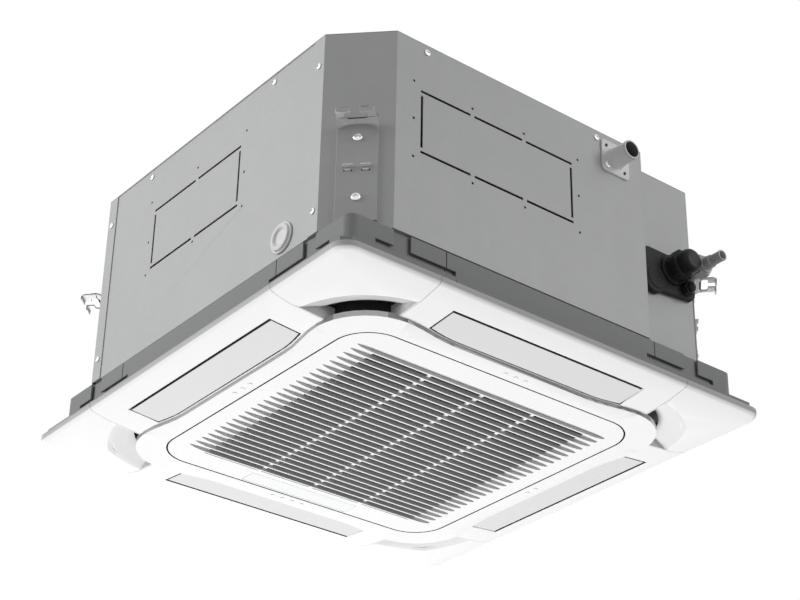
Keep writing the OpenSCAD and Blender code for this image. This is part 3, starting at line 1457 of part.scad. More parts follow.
module grille_face() {
    color([0.94, 0.94, 0.94]) {
        difference() {
            slab(-ring_z, -plate_top) rounded(grille_half, grille_half, grille_r);
            box3(-intake_half, intake_half, -intake_front, intake_front + fin_t / 3,
                -ring_z - e, -plate_top + e);
            box3(-strip_half - strip_seam, strip_half + strip_seam, strip_shares[0] * grille_half - strip_seam,
                strip_shares[1] * grille_half + strip_seam, -ring_z - e, -plate_top + e);
        }
        fin_row();
        for (k = [-1:1])
            box3(k * rib_share * intake_half - rib_w / 2, k * rib_share * intake_half + rib_w / 2,
                -intake_front - e, intake_front + fin_t / 3 + e, -ring_z - rib_drop, -ring_z + fin_up);
        for (s = [-1, 1])
            translate([s * hinge_x, 0, 0]) difference() {
                union() {
                    rod_x(hinge_y, -hinge_z, -knuckle_w / 2, knuckle_w / 2, eye_r, eye_r);
                    box3(-knuckle_w / 2, knuckle_w / 2, hinge_y - eye_r, hinge_y, -plate_top - e, -hinge_z);
                }
                rod_x(hinge_y, -hinge_z, -knuckle_w, knuckle_w, hinge_pin_d / 2 + pin_fit,
                    hinge_pin_d / 2 + pin_fit);
            }
    }
}

module grille_back() {
    z0 = fin_up - ring_z;
    color([0.55, 0.56, 0.58]) {
        difference() {
            slab(-plate_top, z0 + filter_t) rounded(back_half, back_half, grille_r);
            slab(-plate_top - e, z0 - skin_t / 2)
                rounded(back_half - 2 * skin_t, back_half - 2 * skin_t, grille_r);
            slab(z0 - skin_t, z0 + e) square(2 * (intake_front + fin_t), center = true);
            slab(z0, z0 + filter_t + e) square(2 * (filter_half + filter_fit), center = true);
            box3(-strip_half - 3 * skin_t, strip_half + 3 * skin_t, strip_shares[0] * grille_half,
                wall_r, -plate_top - e, -plate_top + skin_t + e);
        }
        for (s = [-1, 1]) difference() {
            box3(s * catch_x - catch_d, s * catch_x + catch_d, -wall_r + 2 * catch_fit,
                -back_half + skin_t, -plate_top, -plate_top + 2 * catch_d);
            rod_y(s * catch_x, -plate_top + catch_d, -wall_r, -back_half + 2 * skin_t,
                catch_d / 2 + rest_gap, catch_d / 2 + rest_gap);
        }
    }
}

module catch_pin(s) {
    y0 = -wall_r + catch_fit;
    color([0.9, 0.9, 0.88]) {
        rod_y(s * catch_x, -plate_top + catch_d, y0 + catch_d / 2, y0 + catch_l / 2, catch_d / 2, catch_d / 2);
        rod_y(s * catch_x, -plate_top + catch_d, y0, y0 + catch_d / 2, catch_d / 4, catch_d / 2);
    }
}

module catch_left() {
    catch_pin(-1);
}

module catch_right() {
    catch_pin(1);
}

module air_filter() {
    z0 = fin_up - ring_z + rest_gap;
    fh = filter_half;
    color([0.3, 0.31, 0.34]) {
        difference() {
            box3(-fh, fh, -fh, fh, z0, z0 + filter_t);
            box3(4 * skin_t - fh, fh - 4 * skin_t, 4 * skin_t - fh, fh - 4 * skin_t,
                z0 + filter_t / 4, z0 + filter_t + e);
        }
        for (k = [-2:2]) {
            box3(k * fh / 3 - skin_t / 2, k * fh / 3 + skin_t / 2, -fh, fh, z0 + e, z0 + filter_t);
            box3(-fh, fh, k * fh / 3 - skin_t / 2, k * fh / 3 + skin_t / 2, z0 + e, z0 + filter_t);
        }
    }
}

module display_strip() {
    color([0.93, 0.94, 0.95]) {
        box3(-strip_half, strip_half, strip_shares[0] * grille_half,
            strip_shares[1] * grille_half, -ring_z, -plate_top);
    }
}

module display_board() {
    y0 = strip_shares[0] * grille_half;
    y1 = strip_shares[1] * grille_half;
    color([0.15, 0.4, 0.2]) {
        box3(-strip_half - 2 * skin_t, strip_half + 2 * skin_t, y0 + skin_t / 2, y1 - 2 * eye_r,
            -plate_top, -plate_top + skin_t / 2);
        for (k = [-2:2])
            box3(k * strip_half / 3 - skin_t, k * strip_half / 3 + skin_t, y0 + skin_t,
                y0 + 3 * skin_t, -plate_top + skin_t / 2 - e, -plate_top + skin_t);
    }
}

module hinge_lugs() {
    x0 = hinge_x + knuckle_w / 2 + side_fit;
    color([0.93, 0.93, 0.93]) for (s = [-1, 1]) difference() {
        union() {
            rod_x(hinge_y, -hinge_z, s < 0 ? -x0 - lug_t : x0, s < 0 ? -x0 : x0 + lug_t, eye_r, eye_r);
            box3(s < 0 ? -x0 - lug_t : x0, s < 0 ? -x0 : x0 + lug_t,
                hinge_y - eye_r, hinge_y + eye_r, -hinge_z, 0);
            intersection() {
                box3(s < 0 ? -wall_r - relief : x0, s < 0 ? -x0 : wall_r + relief,
                    hinge_y - eye_r, hinge_y + eye_r, -lug_t, frame_z);
                slab(-lug_t - e, frame_z + e) rounded(wall_r + relief, wall_r + relief, grille_r + grille_gap + relief);
            }
        }
        rod_x(hinge_y, -hinge_z, -wall_r, wall_r, hinge_pin_d / 2, hinge_pin_d / 2);
    }
}

module hinge_pins() {
    w = knuckle_w / 2 + side_fit + lug_t;
    color([0.75, 0.75, 0.78]) for (s = [-1, 1])
        rod_x(hinge_y, -hinge_z, s * hinge_x - w, s * hinge_x + w, hinge_pin_d / 2, hinge_pin_d / 2);
}

top_plate();
front_sheet();
left_sheet();
back_sheet();
right_sheet();
recess_sheet();
foam_liner();
hanger_brackets();
bracket_screws();
sheet_screws();
drain_flange();
drain_plug();
pipe_gasket();
gas_nut();
gas_pipe();
liquid_nut();
liquid_pipe();
cable_gland();
fan_motor();
motor_mounts();
turbo_fan();
fan_nut();
bell_mouth();
coil_fins();
coil_bends();
drain_pan();
pump_body();
pump_wheel();
float_stem();
float_ring();
drain_riser();
control_box();
control_lid();
circuit_board();
terminal_block();
panel_frame();
panel_fascia();
corner_covers();
corner_pockets();
panel_bolts();
vane_left();
vane_front();
vane_right();
vane_back();
vane_motors();
grille_face();
grille_back();
display_strip();
display_board();
hinge_lugs();
hinge_pins();
catch_left();
catch_right();
air_filter();
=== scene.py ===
import json

import bmesh
import bpy
import numpy as np
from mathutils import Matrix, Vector
from mathutils.geometry import tessellate_polygon

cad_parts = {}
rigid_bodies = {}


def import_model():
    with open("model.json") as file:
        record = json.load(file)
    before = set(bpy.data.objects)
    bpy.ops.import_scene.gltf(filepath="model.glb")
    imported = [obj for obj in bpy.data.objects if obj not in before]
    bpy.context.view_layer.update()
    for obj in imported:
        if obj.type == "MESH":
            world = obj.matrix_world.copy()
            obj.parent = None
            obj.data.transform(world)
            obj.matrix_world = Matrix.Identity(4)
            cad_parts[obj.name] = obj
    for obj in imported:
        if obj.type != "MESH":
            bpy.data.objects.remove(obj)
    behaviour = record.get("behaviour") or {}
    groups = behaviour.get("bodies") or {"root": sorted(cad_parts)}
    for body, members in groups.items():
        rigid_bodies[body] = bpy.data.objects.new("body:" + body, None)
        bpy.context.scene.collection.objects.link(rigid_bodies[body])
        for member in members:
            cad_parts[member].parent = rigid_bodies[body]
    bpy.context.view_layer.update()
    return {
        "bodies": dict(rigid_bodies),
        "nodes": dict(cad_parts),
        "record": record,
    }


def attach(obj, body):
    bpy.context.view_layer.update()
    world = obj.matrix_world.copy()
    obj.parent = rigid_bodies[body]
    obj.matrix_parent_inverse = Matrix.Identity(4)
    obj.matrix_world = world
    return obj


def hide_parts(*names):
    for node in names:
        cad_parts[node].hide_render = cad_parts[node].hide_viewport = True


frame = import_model()

# All sizes below are millimetres, as in the part's source, until a mesh is made
MM = 0.001

# Distances from the vertical axis: half the cabinet, its side sheets, the wall and the gasket
# of the pipe recess
BODY_HALF = 288.0
SIDE_OUT = 286.8
RECESS_OUT = 258.4
GASKET_OUT = 266.4

# The drain stub: place along its side, height, depth of its flange
STUB_ALONG = 105.0
STUB_HEIGHT = 282.0
FLANGE_DEPTH = 2.5

# The hanger brackets: thickness, lower and upper face of the shelf, place of the pressed hooks
BRACKET_WALL = 2.0
SHELF_LOW = 188.0
SHELF_HIGH = SHELF_LOW + BRACKET_WALL
HOOK_ALONG = 9.8

# The four corner chamfers: angle, shift along, distance out and width of the bracket
CORNERS = [(135, 0.0, 366.28, 46.0), (45, 0.0, 366.28, 46.0), (-45, 0.0, 366.28, 46.0),
           (225, -20.93, 366.28, 36.0)]

# The intake grille: half its side, lower and upper face of its plate, half length of its fins
# inside the window and the length of a fin's point on the border
GRILLE_HALF = 207.3
PLATE_LOW = -22.3
PLATE_HIGH = -19.8
FIN_HALF = 158.0
FIN_POINT = 27.5

# Bounds below which two corners are one and two faces are flat to each other
SAME_CORNER = 0.02 * MM
SAME_NEW_CORNER = 0.0005 * MM
FLAT_ANGLE = np.radians(0.4)


# Shader maths

class Varying:
    """A number that changes over a surface. Operators on it add Math nodes."""

    def __init__(self, paint, socket):
        self.paint = paint
        self.socket = socket

    def math(self, operation, *values):
        return self.paint.node("ShaderNodeMath", {"operation": operation}, dict(enumerate(values)))

    def __add__(self, other):
        return self.math("ADD", self, other)

    def __sub__(self, other):
        return self.math("SUBTRACT", self, other)

    def __rsub__(self, other):
        return self.math("SUBTRACT", other, self)

    def __mul__(self, other):
        return self.math("MULTIPLY", self, other)

    __radd__ = __add__
    __rmul__ = __mul__

    def size(self):
        return self.math("ABSOLUTE", self)

    def wave(self):
        return self.math("SINE", self)

    def smaller(self, other):
        return self.math("MINIMUM", self, other)

    def ramp(self, low, high):
        """0 up to low, 1 from high on, smooth between."""
        return self.paint.node("ShaderNodeMapRange", {"interpolation_type": "SMOOTHSTEP"},
                               {"Value": self, "From Min": low, "From Max": high})


class Paint:
    """One procedural material and the nodes that feed its Principled shader."""

    def __init__(self, name):
        self.material = bpy.data.materials.new(name)
        self.material.use_nodes = True
        self.tree = self.material.node_tree
        self.shader = self.tree.nodes["Principled BSDF"]
        self.place = self.node("ShaderNodeTexCoord", {}, {}, "Object")

    def node(self, kind, settings, inputs, output=0):
        """Adds a node, settings first, then the values or links of its sockets."""
        node = self.tree.nodes.new(kind)
        for key, value in settings.items():
            setattr(node, key, value)
        for key, value in inputs.items():
            self.put(node.inputs[key], value)
        return Varying(self, node.outputs[output])

    def put(self, socket, value):
        if isinstance(value, Varying):
            self.tree.links.new(value.socket, socket)
        else:
            socket.default_value = value

    def scaled(self, sx, sy, sz):
        """The object's coordinates stretched, for patterns that run one way."""
        return self.node("ShaderNodeMapping", {}, {"Vector": self.place, "Scale": (sx, sy, sz)})

    def noise(self, scale, detail=2.0, rough=0.5, where=None):
        return self.node("ShaderNodeTexNoise", {}, {"Vector": where or self.place, "Scale": scale,
                                                    "Detail": detail, "Roughness": rough})

    def cells(self, scale, feature="F1", where=None):
        return self.node("ShaderNodeTexVoronoi", {"feature": feature},
                         {"Vector": where or self.place, "Scale": scale})

    def axis(self, letter):
        """One object coordinate in millimetres."""
        return self.node("ShaderNodeSeparateXYZ", {}, {0: self.place}, letter) * 1000.0

    def own(self, name):
        """A value from 0 to 1 that a piece carries on its faces, 0 on a piece without it."""
        return self.node("ShaderNodeAttribute", {"attribute_name": name}, {}, "Fac")

    def facing(self, letter):
        """How far the surface faces along an axis, from -1 to 1."""
        normal = self.node("ShaderNodeNewGeometry", {}, {}, "True Normal")
        return self.node("ShaderNodeSeparateXYZ", {}, {0: normal}, letter)

    def blend(self, share, low, high):
        """Mixes two colours by a share."""
        return self.node("ShaderNodeMix", {"data_type": "RGBA"},
                         {0: share, 6: as_colour(low), 7: as_colour(high)}, 2)

    def set(self, **sockets):
        for key, value in sockets.items():
            self.put(self.shader.inputs[key.replace("_", " ").title().replace("Ior", "IOR")], value)

    def relief(self, height, depth):
        """Bump from a height between 0 and 1, depth in millimetres."""
        bump = self.node("ShaderNodeBump", {}, {"Height": height, "Strength": 1.0,
                                                "Distance": depth * MM})
        self.put(self.shader.inputs["Normal"], bump)
        return self


def as_colour(value):
    """A socket, a grey level or three numbers as what a colour socket takes."""
    if isinstance(value, Varying):
        return value
    if isinstance(value, (int, float)):
        value = (value, value, value)
    return (*value, 1.0)


# Finishes, one for each material slot of the record

def zinc(name, tone, streak):
    """Rolled zinc coated sheet: cloudy spangle and fine rolling streaks, and painted light, near
    white, on faces that carry light."""
    paint = Paint(name)
    spangle = paint.cells(70.0).ramp(0.1, 0.9)
    cloud = paint.noise(9.0, 4.0, 0.6)
    lines = paint.noise(60.0, 3.0, 0.6, paint.scaled(*streak))
    shade = cloud * 0.5 + spangle * 0.15 + lines * 0.35
    colour = paint.blend(shade, [c * 0.93 for c in tone], [min(1.0, c * 1.07) for c in tone])
    # Painted light: faces that carry light turn near white, as if lit strongly from below.
    colour = paint.blend(paint.own("light"), colour, (0.95, 0.95, 0.95))
    paint.set(base_color=colour, metallic=0.12, roughness=lines * 0.12 + 0.44,
              specular_ior_level=0.25)
    return paint.relief(lines * 0.7 + spangle * 0.3, 0.02)


def plastic(name, tone, rough, grain=0.03):
    """Moulded plastic: spark-eroded grain, faint flow clouds, roughness that varies with them,
    and painted shade, near black, on faces that carry deep."""
    paint = Paint(name)
    fine = paint.noise(2400.0, 2.0, 0.6)
    cloud = paint.noise(14.0, 3.0, 0.55)
    colour = paint.blend(cloud * 0.7 + fine * 0.3, [c * 0.97 for c in tone],
                         [min(1.0, c * 1.02) for c in tone])
    # Painted shade: faces that carry deep darken towards black, standing in for shade in gaps and
    # hollows.
    colour = paint.blend(paint.own("deep"), colour, [c * 0.03 for c in tone])
    paint.set(base_color=colour, roughness=cloud * 0.08 + fine * 0.06 + rough - 0.07,
              specular_ior_level=0.15)
    return paint.relief(fine, grain)


def plated(name, tone):
    """Bright zinc plating: fine turning marks and faint dull patches."""
    paint = Paint(name)
    marks = paint.noise(1500.0, 3.0, 0.7)
    cloud = paint.noise(90.0, 2.0, 0.5)
    colour = paint.blend(cloud, [c * 0.88 for c in tone], tone)
    paint.set(base_color=colour, metallic=1.0, roughness=marks * 0.14 + 0.2)
    return paint.relief(marks, 0.01)


def foam(name, tone, cell, depth):
    """Foam: round cells with dark walls."""
    paint = Paint(name)
    beads = paint.cells(cell)
    fine = paint.noise(cell * 4.0, 3.0, 0.6)
    colour = paint.blend(beads.ramp(0.2, 0.8), [min(1.0, c * 1.05) for c in tone],
                         [c * 0.8 for c in tone])
    paint.set(base_color=colour, roughness=fine * 0.1 + 0.82)
    return paint.relief(1 - beads * 0.8 + fine * 0.2, depth)


def tube_copper(name, tone):
    """Drawn copper: long drawing lines, patches dulled brown."""
    paint = Paint(name)
    stain = paint.noise(45.0, 4.0, 0.6).ramp(0.35, 0.75)
    lines = paint.noise(900.0, 2.0, 0.5)
    colour = paint.blend(stain, tone, [tone[0] * 0.62, tone[1] * 0.55, tone[2] * 0.5])
    paint.set(base_color=colour, metallic=0.95, roughness=stain * 0.25 + lines * 0.08 + 0.22)
    return paint.relief(lines, 0.01)


def coil_skin(name, tone, pitch):
    """Finned block: a stripe of painted shade for the gap at each fin round the block, tube rows
    as faint bands.
    """
    paint = Paint(name)
    along = paint.axis("X") * paint.facing("Y").size() + paint.axis("Y") * paint.facing("X").size()
    comb = (along * (2.0 * np.pi / pitch)).wave() * 0.5 + 0.5
    rows = (paint.axis("Z") * (2.0 * np.pi / 25.0)).wave() * 0.5 + 0.5
    # Painted shade: the gaps between the fins are darkened stripes.
    colour = paint.blend(comb.ramp(0.25, 0.6), [c * 0.22 for c in tone], tone)
    paint.set(base_color=paint.blend(rows * 0.18, colour, [c * 0.6 for c in tone]), metallic=0.7,
              roughness=comb * 0.15 + 0.35)
    return paint.relief(comb, 0.6)


def mesh_cloth(name, tone, pitch):
    """Filter net: a woven grid of threads with dark holes."""
    paint = Paint(name)
    warp = (paint.axis("X") * (np.pi / pitch)).wave().size()
    weft = (paint.axis("Y") * (np.pi / pitch)).wave().size()
    thread = (1 - warp.smaller(weft)).ramp(0.35, 0.75)
    colour = paint.blend(thread, [c * 0.25 for c in tone], tone)
    paint.set(base_color=colour, roughness=thread * 0.2 + 0.7, specular_ior_level=0.1)
    return paint.relief(thread, 0.3)


def board(name, tone):
    """Circuit board: solder mask with lighter traces and tinned pads."""
    paint = Paint(name)
    traces = paint.cells(140.0, "DISTANCE_TO_EDGE", paint.scaled(1.0, 2.2, 1.0)).ramp(0.03, 0.09)
    pads = paint.cells(260.0).ramp(0.12, 0.2)
    mask = paint.blend(traces, [c * 1.8 for c in tone], tone)
    paint.set(base_color=paint.blend(pads, (0.75, 0.74, 0.7), mask), metallic=1 - pads,
              roughness=pads * 0.15 + 0.25)
    return paint.relief(pads, 0.03)


finishes = {
    "zinc_sheet": zinc("zinc_sheet", (0.45, 0.453, 0.457), (1.0, 1.0, 0.04)),
    "zinc_bracket": zinc("zinc_bracket", (0.45, 0.453, 0.457), (0.1, 0.1, 1.0)),
    "screw_steel": plated("screw_steel", (0.85, 0.85, 0.85)),
    "white_plastic": plastic("white_plastic", (0.86, 0.86, 0.86), 0.7),
    "vane_plastic": plastic("vane_plastic", (0.7, 0.7, 0.704), 0.7),
    "grey_plastic": plastic("grey_plastic", (0.28, 0.283, 0.287), 0.55),
    "light_grey_plastic": plastic("light_grey_plastic", (0.88, 0.88, 0.88), 0.45),
    "dark_plastic": plastic("dark_plastic", (0.02, 0.02, 0.022), 0.4),
    "dark_foam": foam("dark_foam", (0.03, 0.03, 0.032), 420.0, 0.3),
    "white_foam": foam("white_foam", (0.82, 0.82, 0.8), 240.0, 0.4),
    "copper": tube_copper("copper", (0.86, 0.42, 0.27)),
    "fin_aluminium": coil_skin("fin_aluminium", (0.75, 0.77, 0.8), 1.8),
    "motor_paint": plastic("motor_paint", (0.07, 0.075, 0.085), 0.35, 0.05),
    "rubber_black": plastic("rubber_black", (0.015, 0.015, 0.015), 0.75, 0.06),
    "fan_plastic": plastic("fan_plastic", (0.62, 0.64, 0.68), 0.4),
    "board_green": board("board_green", (0.01, 0.09, 0.03)),
    "strip_plastic": plastic("strip_plastic", (0.84, 0.845, 0.85), 0.2, 0.005),
    # The filter net is dark, and its tone is set near black as painted shade, so the gaps between
    # the grille's fins read black.
    "filter_mesh": mesh_cloth("filter_mesh", (0.02, 0.021, 0.024), 1.4),
    "float_plastic": plastic("float_plastic", (0.75, 0.35, 0.05), 0.5),
}


# Pieces

def body_of(node):
    """The body that carries a CAD node."""
    carrier = frame["nodes"][node].parent
    return next(name for name, empty in frame["bodies"].items() if empty == carrier)


def own_shares(name, centre, normal):
    """The name and the values of what a piece carries on its faces, from their centres in
    millimetres and their normals: deep is painted shade on walls of gaps, openings, rims and
    scoops, light is painted light on the undersides of the bracket shelves and on the hooks."""
    x, y, z = centre.T
    out = np.maximum(abs(x), abs(y))
    along = np.minimum(abs(x), abs(y))
    straight = 162.0
    reach = straight + np.hypot(np.maximum(abs(x) - straight, 0.0),
                                np.maximum(abs(y) - straight, 0.0))
    level = abs(normal[:, 2])
    steep = level < 0.5
    outer_rim = steep & (out > 300.0)
    # Painted shade: the fins' side walls are darkened by a third.
    if name == "grille_fins":
        return "deep", np.where(steep, 0.36, 0.0)
    # Painted shade: the walls round the grille's windows turn near black.
    if name == "grille_plate":
        return "deep", np.where(steep & (reach > 204.0), 0.97, 0.0)
    # Painted shade: the vanes' narrow side faces turn near black.
    if name.startswith("vane_") and name.endswith("_shape"):
        return "deep", np.where((level < 0.3) & (along < 150.0), 0.9, 0.0)
    # Painted shade: the opening and inner walls turn near black, the ring walls and the outer rim
    # darker.
    if name == "panel_fascia_shape":
        opening = steep & (along < 139.0) & (out > 245.0) & (out < 287.0)
        inner = steep & (reach < 216.0)
        ring = (level < 0.75) & (reach < 245.0) & (z < -4.0)
        return "deep", np.select([opening | inner, ring, outer_rim], [0.97, 0.45, 0.35], 0.0)
    # Painted shade: the scoops darker, the one at the near corner the most, and the outer rim
    # darker.
    if name == "corner_covers_shape":
        lean = (normal[:, 0] * x + normal[:, 1] * y) / np.hypot(x, y)
        scoop = (lean < -0.2) & (level > 0.75)
        near = scoop & (x + y < -300.0)
        return "deep", np.select([near, scoop, outer_rim], [0.38, 0.13, 0.35], 0.0)
    # Painted shade: the stub's bore turns near black.
    if name == "drain_flange_and_stub":
        bore = (np.hypot(x - STUB_ALONG, z - STUB_HEIGHT) < 10.25) & (y < -291.0)
        return "deep", np.where(bore, 0.85, 0.0)
    # Painted light: the shelves' undersides grow lighter the more they face down, and the pressed
    # hooks turn near white.
    if name == "hanger_bracket_set":
        under = np.clip(-normal[:, 2], 0.0, 1.0) * (z > 170.0)
        hooks = (z > 126.0) & (z < 133.0)
        return "light", np.where(hooks, 1.0, under)
    return "deep", None


def present(name, mesh, finish, body, nodes, crease):
    """Puts a finished mesh into the model: smooth but for creases, on its body, in its finish."""
    label, shares = own_shares(name, np.array([face.center / MM for face in mesh.polygons]),
                               np.array([face.normal for face in mesh.polygons]))
    if shares is not None:
        mesh.attributes.new(label, "FLOAT", "FACE").data.foreach_set("value", shares)
    mesh.shade_smooth()
    mesh.set_sharp_from_angle(angle=np.radians(crease))
    mesh.materials.clear()
    mesh.materials.append(finishes[finish].material)
    thing = bpy.data.objects.new(name, mesh)
    bpy.context.scene.collection.objects.link(thing)
    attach(thing, body)
    if nodes:
        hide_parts(*nodes)
    return thing


def ease(thing, width):
    """Rounds the edges of a piece that turn by over 40 degrees, width in millimetres."""
    bevel = thing.modifiers.new("eased_edges", "BEVEL")
    bevel.width = width * MM
    bevel.segments = 2
    bevel.limit_method = "ANGLE"
    bevel.angle_limit = np.radians(40.0)
    bevel.use_clamp_overlap = False
    bevel.harden_normals = True


def drawn_smooth(node, finish, crease, width):
    """A copy of a CAD node with whole faces, smooth curves and eased edges."""
    work = bmesh.new()
    work.from_mesh(frame["nodes"][node].data)
    bmesh.ops.remove_doubles(work, verts=work.verts, dist=SAME_CORNER)
    bmesh.ops.dissolve_degenerate(work, edges=work.edges, dist=SAME_CORNER)
    if width:
        bmesh.ops.dissolve_limit(work, angle_limit=FLAT_ANGLE, verts=work.verts, edges=work.edges)
    bmesh.ops.recalc_face_normals(work, faces=work.faces)
    mesh = bpy.data.meshes.new(node + "_shape")
    work.to_mesh(mesh)
    work.free()
    thing = present(node + "_shape", mesh, finish, body_of(node), [node], crease)
    if width:
        ease(thing, width)
    if node in ("panel_fascia", "corner_covers", "top_plate"):
        evened = thing.modifiers.new("evened_shading", "WEIGHTED_NORMAL")
        evened.keep_sharp = True


# Edge rounding of each node's copy, millimetres, 0 where the edges are cut sheet or wire
edge_rounding = {
    "top_plate": 0.5, "front_sheet": 0.4, "left_sheet": 0.4, "back_sheet": 0.4, "right_sheet": 0.4,
    "recess_sheet": 0.4, "foam_liner": 1.0, "gas_pipe": 0.0, "liquid_pipe": 0.0, "fan_motor": 1.0,
    "motor_mounts": 0.5, "turbo_fan": 0.3, "fan_nut": 0.3, "bell_mouth": 0.3, "coil_fins": 0.0,
    "coil_bends": 0.0, "drain_pan": 1.0, "pump_body": 0.6, "pump_wheel": 0.3, "float_stem": 0.3,
    "float_ring": 0.8, "drain_riser": 0.0, "control_box": 0.3, "control_lid": 0.3,
    "circuit_board": 0.2, "terminal_block": 0.4, "panel_frame": 0.4, "panel_fascia": 0.0,
    "corner_covers": 0.0, "corner_pockets": 0.2, "panel_bolts": 0.2, "vane_left": 0.6,
    "vane_front": 0.6, "vane_right": 0.6, "vane_back": 0.6, "vane_motors": 0.5,
    "grille_back": 0.3, "display_strip": 0.2, "display_board": 0.1, "hinge_lugs": 0.2,
    "hinge_pins": 0.0, "catch_left": 0.3, "catch_right": 0.3, "air_filter": 0.0,
}

# The grille's back frame gets the dark finish as painted shade seen through the fins, and the
# covers' scoops end in low creases
for row in frame["record"]["subparts"]:
    if row["node"] in edge_rounding:
        finish = {"grille_back": "dark_plastic"}.get(row["node"], row["material_slot"])
        crease = {"corner_covers": 19.0}.get(row["node"], 32.0)
        drawn_smooth(row["node"], finish, crease, edge_rounding[row["node"]])


class Form:
    """Corners and faces of one piece in millimetres, gathered from closed shells."""

    def __init__(self):
        self.corners = []
        self.faces = []

    def loft(self, rings):
        """Joins outlines of equal count one after another and closes both ends flat."""
        rings = np.asarray(rings, float)
        count, around = rings.shape[:2]
        index = len(self.corners) + np.arange(count * around).reshape(count, around)
        self.corners.extend(rings.reshape(-1, 3).tolist())
        low, high = index[:-1], index[1:]
        quads = np.stack([low, np.roll(low, -1, 1), np.roll(high, -1, 1), high], -1)
        self.faces.extend(quads.reshape(-1, 4).tolist())
        self.faces += [index[0][::-1].tolist(), index[-1].tolist()]

    def turned(self, spot, rows, around=36):
        """A turned body: rows of height, radius and, if any, how hexagonal the row is from 0 to 1.

        The corner of the hexagon lies at the radius, its flats at cos 30 of it."""
        angle = 2.0 * np.pi * np.arange(around) / around
        hexed = np.cos(np.pi / 6) / np.cos(angle % (np.pi / 3) - np.pi / 6)
        rings = []
        for height, radius, *six in rows:
            reach = radius * (1.0 + (six[0] if six else 0.0) * (hexed - 1.0))
            rings.append(spot(np.stack([reach * np.cos(angle), np.full(around, height),
                                        reach * np.sin(angle)], -1)))
        self.loft(rings)

    def plate(self, spot, outline, holes, low, high):
        """A flat plate between two heights with holes cut through it."""
        loops = [outline, *holes]
        flat = [Vector((*point, 0.0)) for loop in loops for point in loop]
        triangles = tessellate_polygon([[Vector((*point, 0.0)) for point in loop]
                                        for loop in loops])
        base, count = len(self.corners), len(flat)
        for height in (low, high):
            self.corners.extend(spot(np.array([(v.x, height, v.y) for v in flat])).tolist())
        self.faces += [[base + i for i in t] for t in triangles]
        self.faces += [[base + count + i for i in reversed(t)] for t in triangles]
        first = base
        for loop in loops:
            n = len(loop)
            self.faces += [[first + i, first + (i + 1) % n, first + count + (i + 1) % n,
                            first + count + i] for i in range(n)]
            first += n

    def make(self, name, finish, body, nodes, crease=32.0, width=0.0, whole=False):
        """Closes the piece, points its faces outwards and puts it into the model."""
        mesh = bpy.data.meshes.new(name)
        corners = [[value * MM for value in corner] for corner in self.corners]
        mesh.from_pydata(corners, [], self.faces)
        work = bmesh.new()
        work.from_mesh(mesh)
        bmesh.ops.remove_doubles(work, verts=work.verts, dist=SAME_NEW_CORNER)
        if whole:
            bmesh.ops.dissolve_limit(work, angle_limit=FLAT_ANGLE, verts=work.verts,
                                     edges=work.edges)
        bmesh.ops.recalc_face_normals(work, faces=work.faces)
        work.to_mesh(mesh)
        work.free()
        thing = present(name, mesh, finish, body, nodes, crease)
        if width:
            ease(thing, width)


def spot(angle, along, out, height):
    """A place on a side of the unit: local Y points outwards at an angle about the vertical axis.

    Local X runs along the side and local Z up, so a ring in X and Z lies flat on the side."""
    turn = np.radians(angle)
    c, s = np.cos(turn), np.sin(turn)

    def place(points):
        x = points[..., 0] + along
        y = points[..., 1] + out
        return np.stack([c * x - s * y, s * x + c * y, points[..., 2] + height], -1)
    return place


def arc(x, y, radius, start, stop, steps=8):
    """Points on an arc between two angles in degrees."""
    angle = np.radians(np.linspace(start, stop, steps + 1))
    return [(x + radius * np.cos(a), y + radius * np.sin(a)) for a in angle]


def rounded(x, y, half_x, half_y, radius, steps=8):
    """A rectangle with round corners, counter-clockwise."""
    u, v = half_x - radius, half_y - radius
    return (arc(x + u, y + v, radius, 0, 90, steps) + arc(x - u, y + v, radius, 90, 180, steps)
            + arc(x - u, y - v, radius, 180, 270, steps)
            + arc(x + u, y - v, radius, 270, 360, steps))


def pan_head(form, place, radius, height):
    """A pan head with a cross recess: a low dome, lowered where a ray lies near the cross arms."""
    around = 32
    angle = 2.0 * np.pi * np.arange(around) / around
    rings = [place(np.stack([radius * 0.98 * np.cos(angle), np.zeros(around),
                             radius * 0.98 * np.sin(angle)], -1))]
    for share in (1.0, 0.98, 0.93, 0.84, 0.72, 0.6, 0.585, 0.42, 0.28, 0.14):
        top = height * (0.42 + 0.58 * np.sqrt(max(0.0, 1.0 - share ** 2.6)))
        x, z = share * radius * np.cos(angle), share * radius * np.sin(angle)
        arm = np.minimum(np.abs(x), np.abs(z)) < 0.17 * radius
        deep = np.where(arm & (share < 0.59), 0.62 * height, 0.0)
        rings.append(place(np.stack([x, top - deep, z], -1)))
    form.loft(rings)


def sheet_fasteners():
    """Pan-head screws of the sheets and of the brackets, on the cabinet sides."""
    low = Form()
    top_row, radius, height = 302.3, 4.0, 2.0
    for share in (-0.649, 0.264):
        pan_head(low, spot(180, -share * BODY_HALF, BODY_HALF, top_row), radius, height)
    for share in (-0.456, 0.456):
        pan_head(low, spot(0, share * BODY_HALF, BODY_HALF, top_row), radius, height)
        for side in (90, -90):
            pan_head(low, spot(side, share * BODY_HALF, SIDE_OUT, top_row), radius, height)
    for side in (90, -90):
        for along in (-221.0, 221.0):
            for level in (82.0, 273.57):
                pan_head(low, spot(side, along, BODY_HALF, level), radius, height)
    low.make("sheet_screw_heads", "screw_steel", "cabinet", ["sheet_screws"], 24.0)
    large = Form()
    for angle, along, out, _ in CORNERS:
        for level in (92.08, 169.0):
            pan_head(large, spot(angle, along, out + BRACKET_WALL, level), 5.0, 2.4)
    large.make("bracket_screw_heads", "screw_steel", "cabinet", ["bracket_screws"], 24.0)


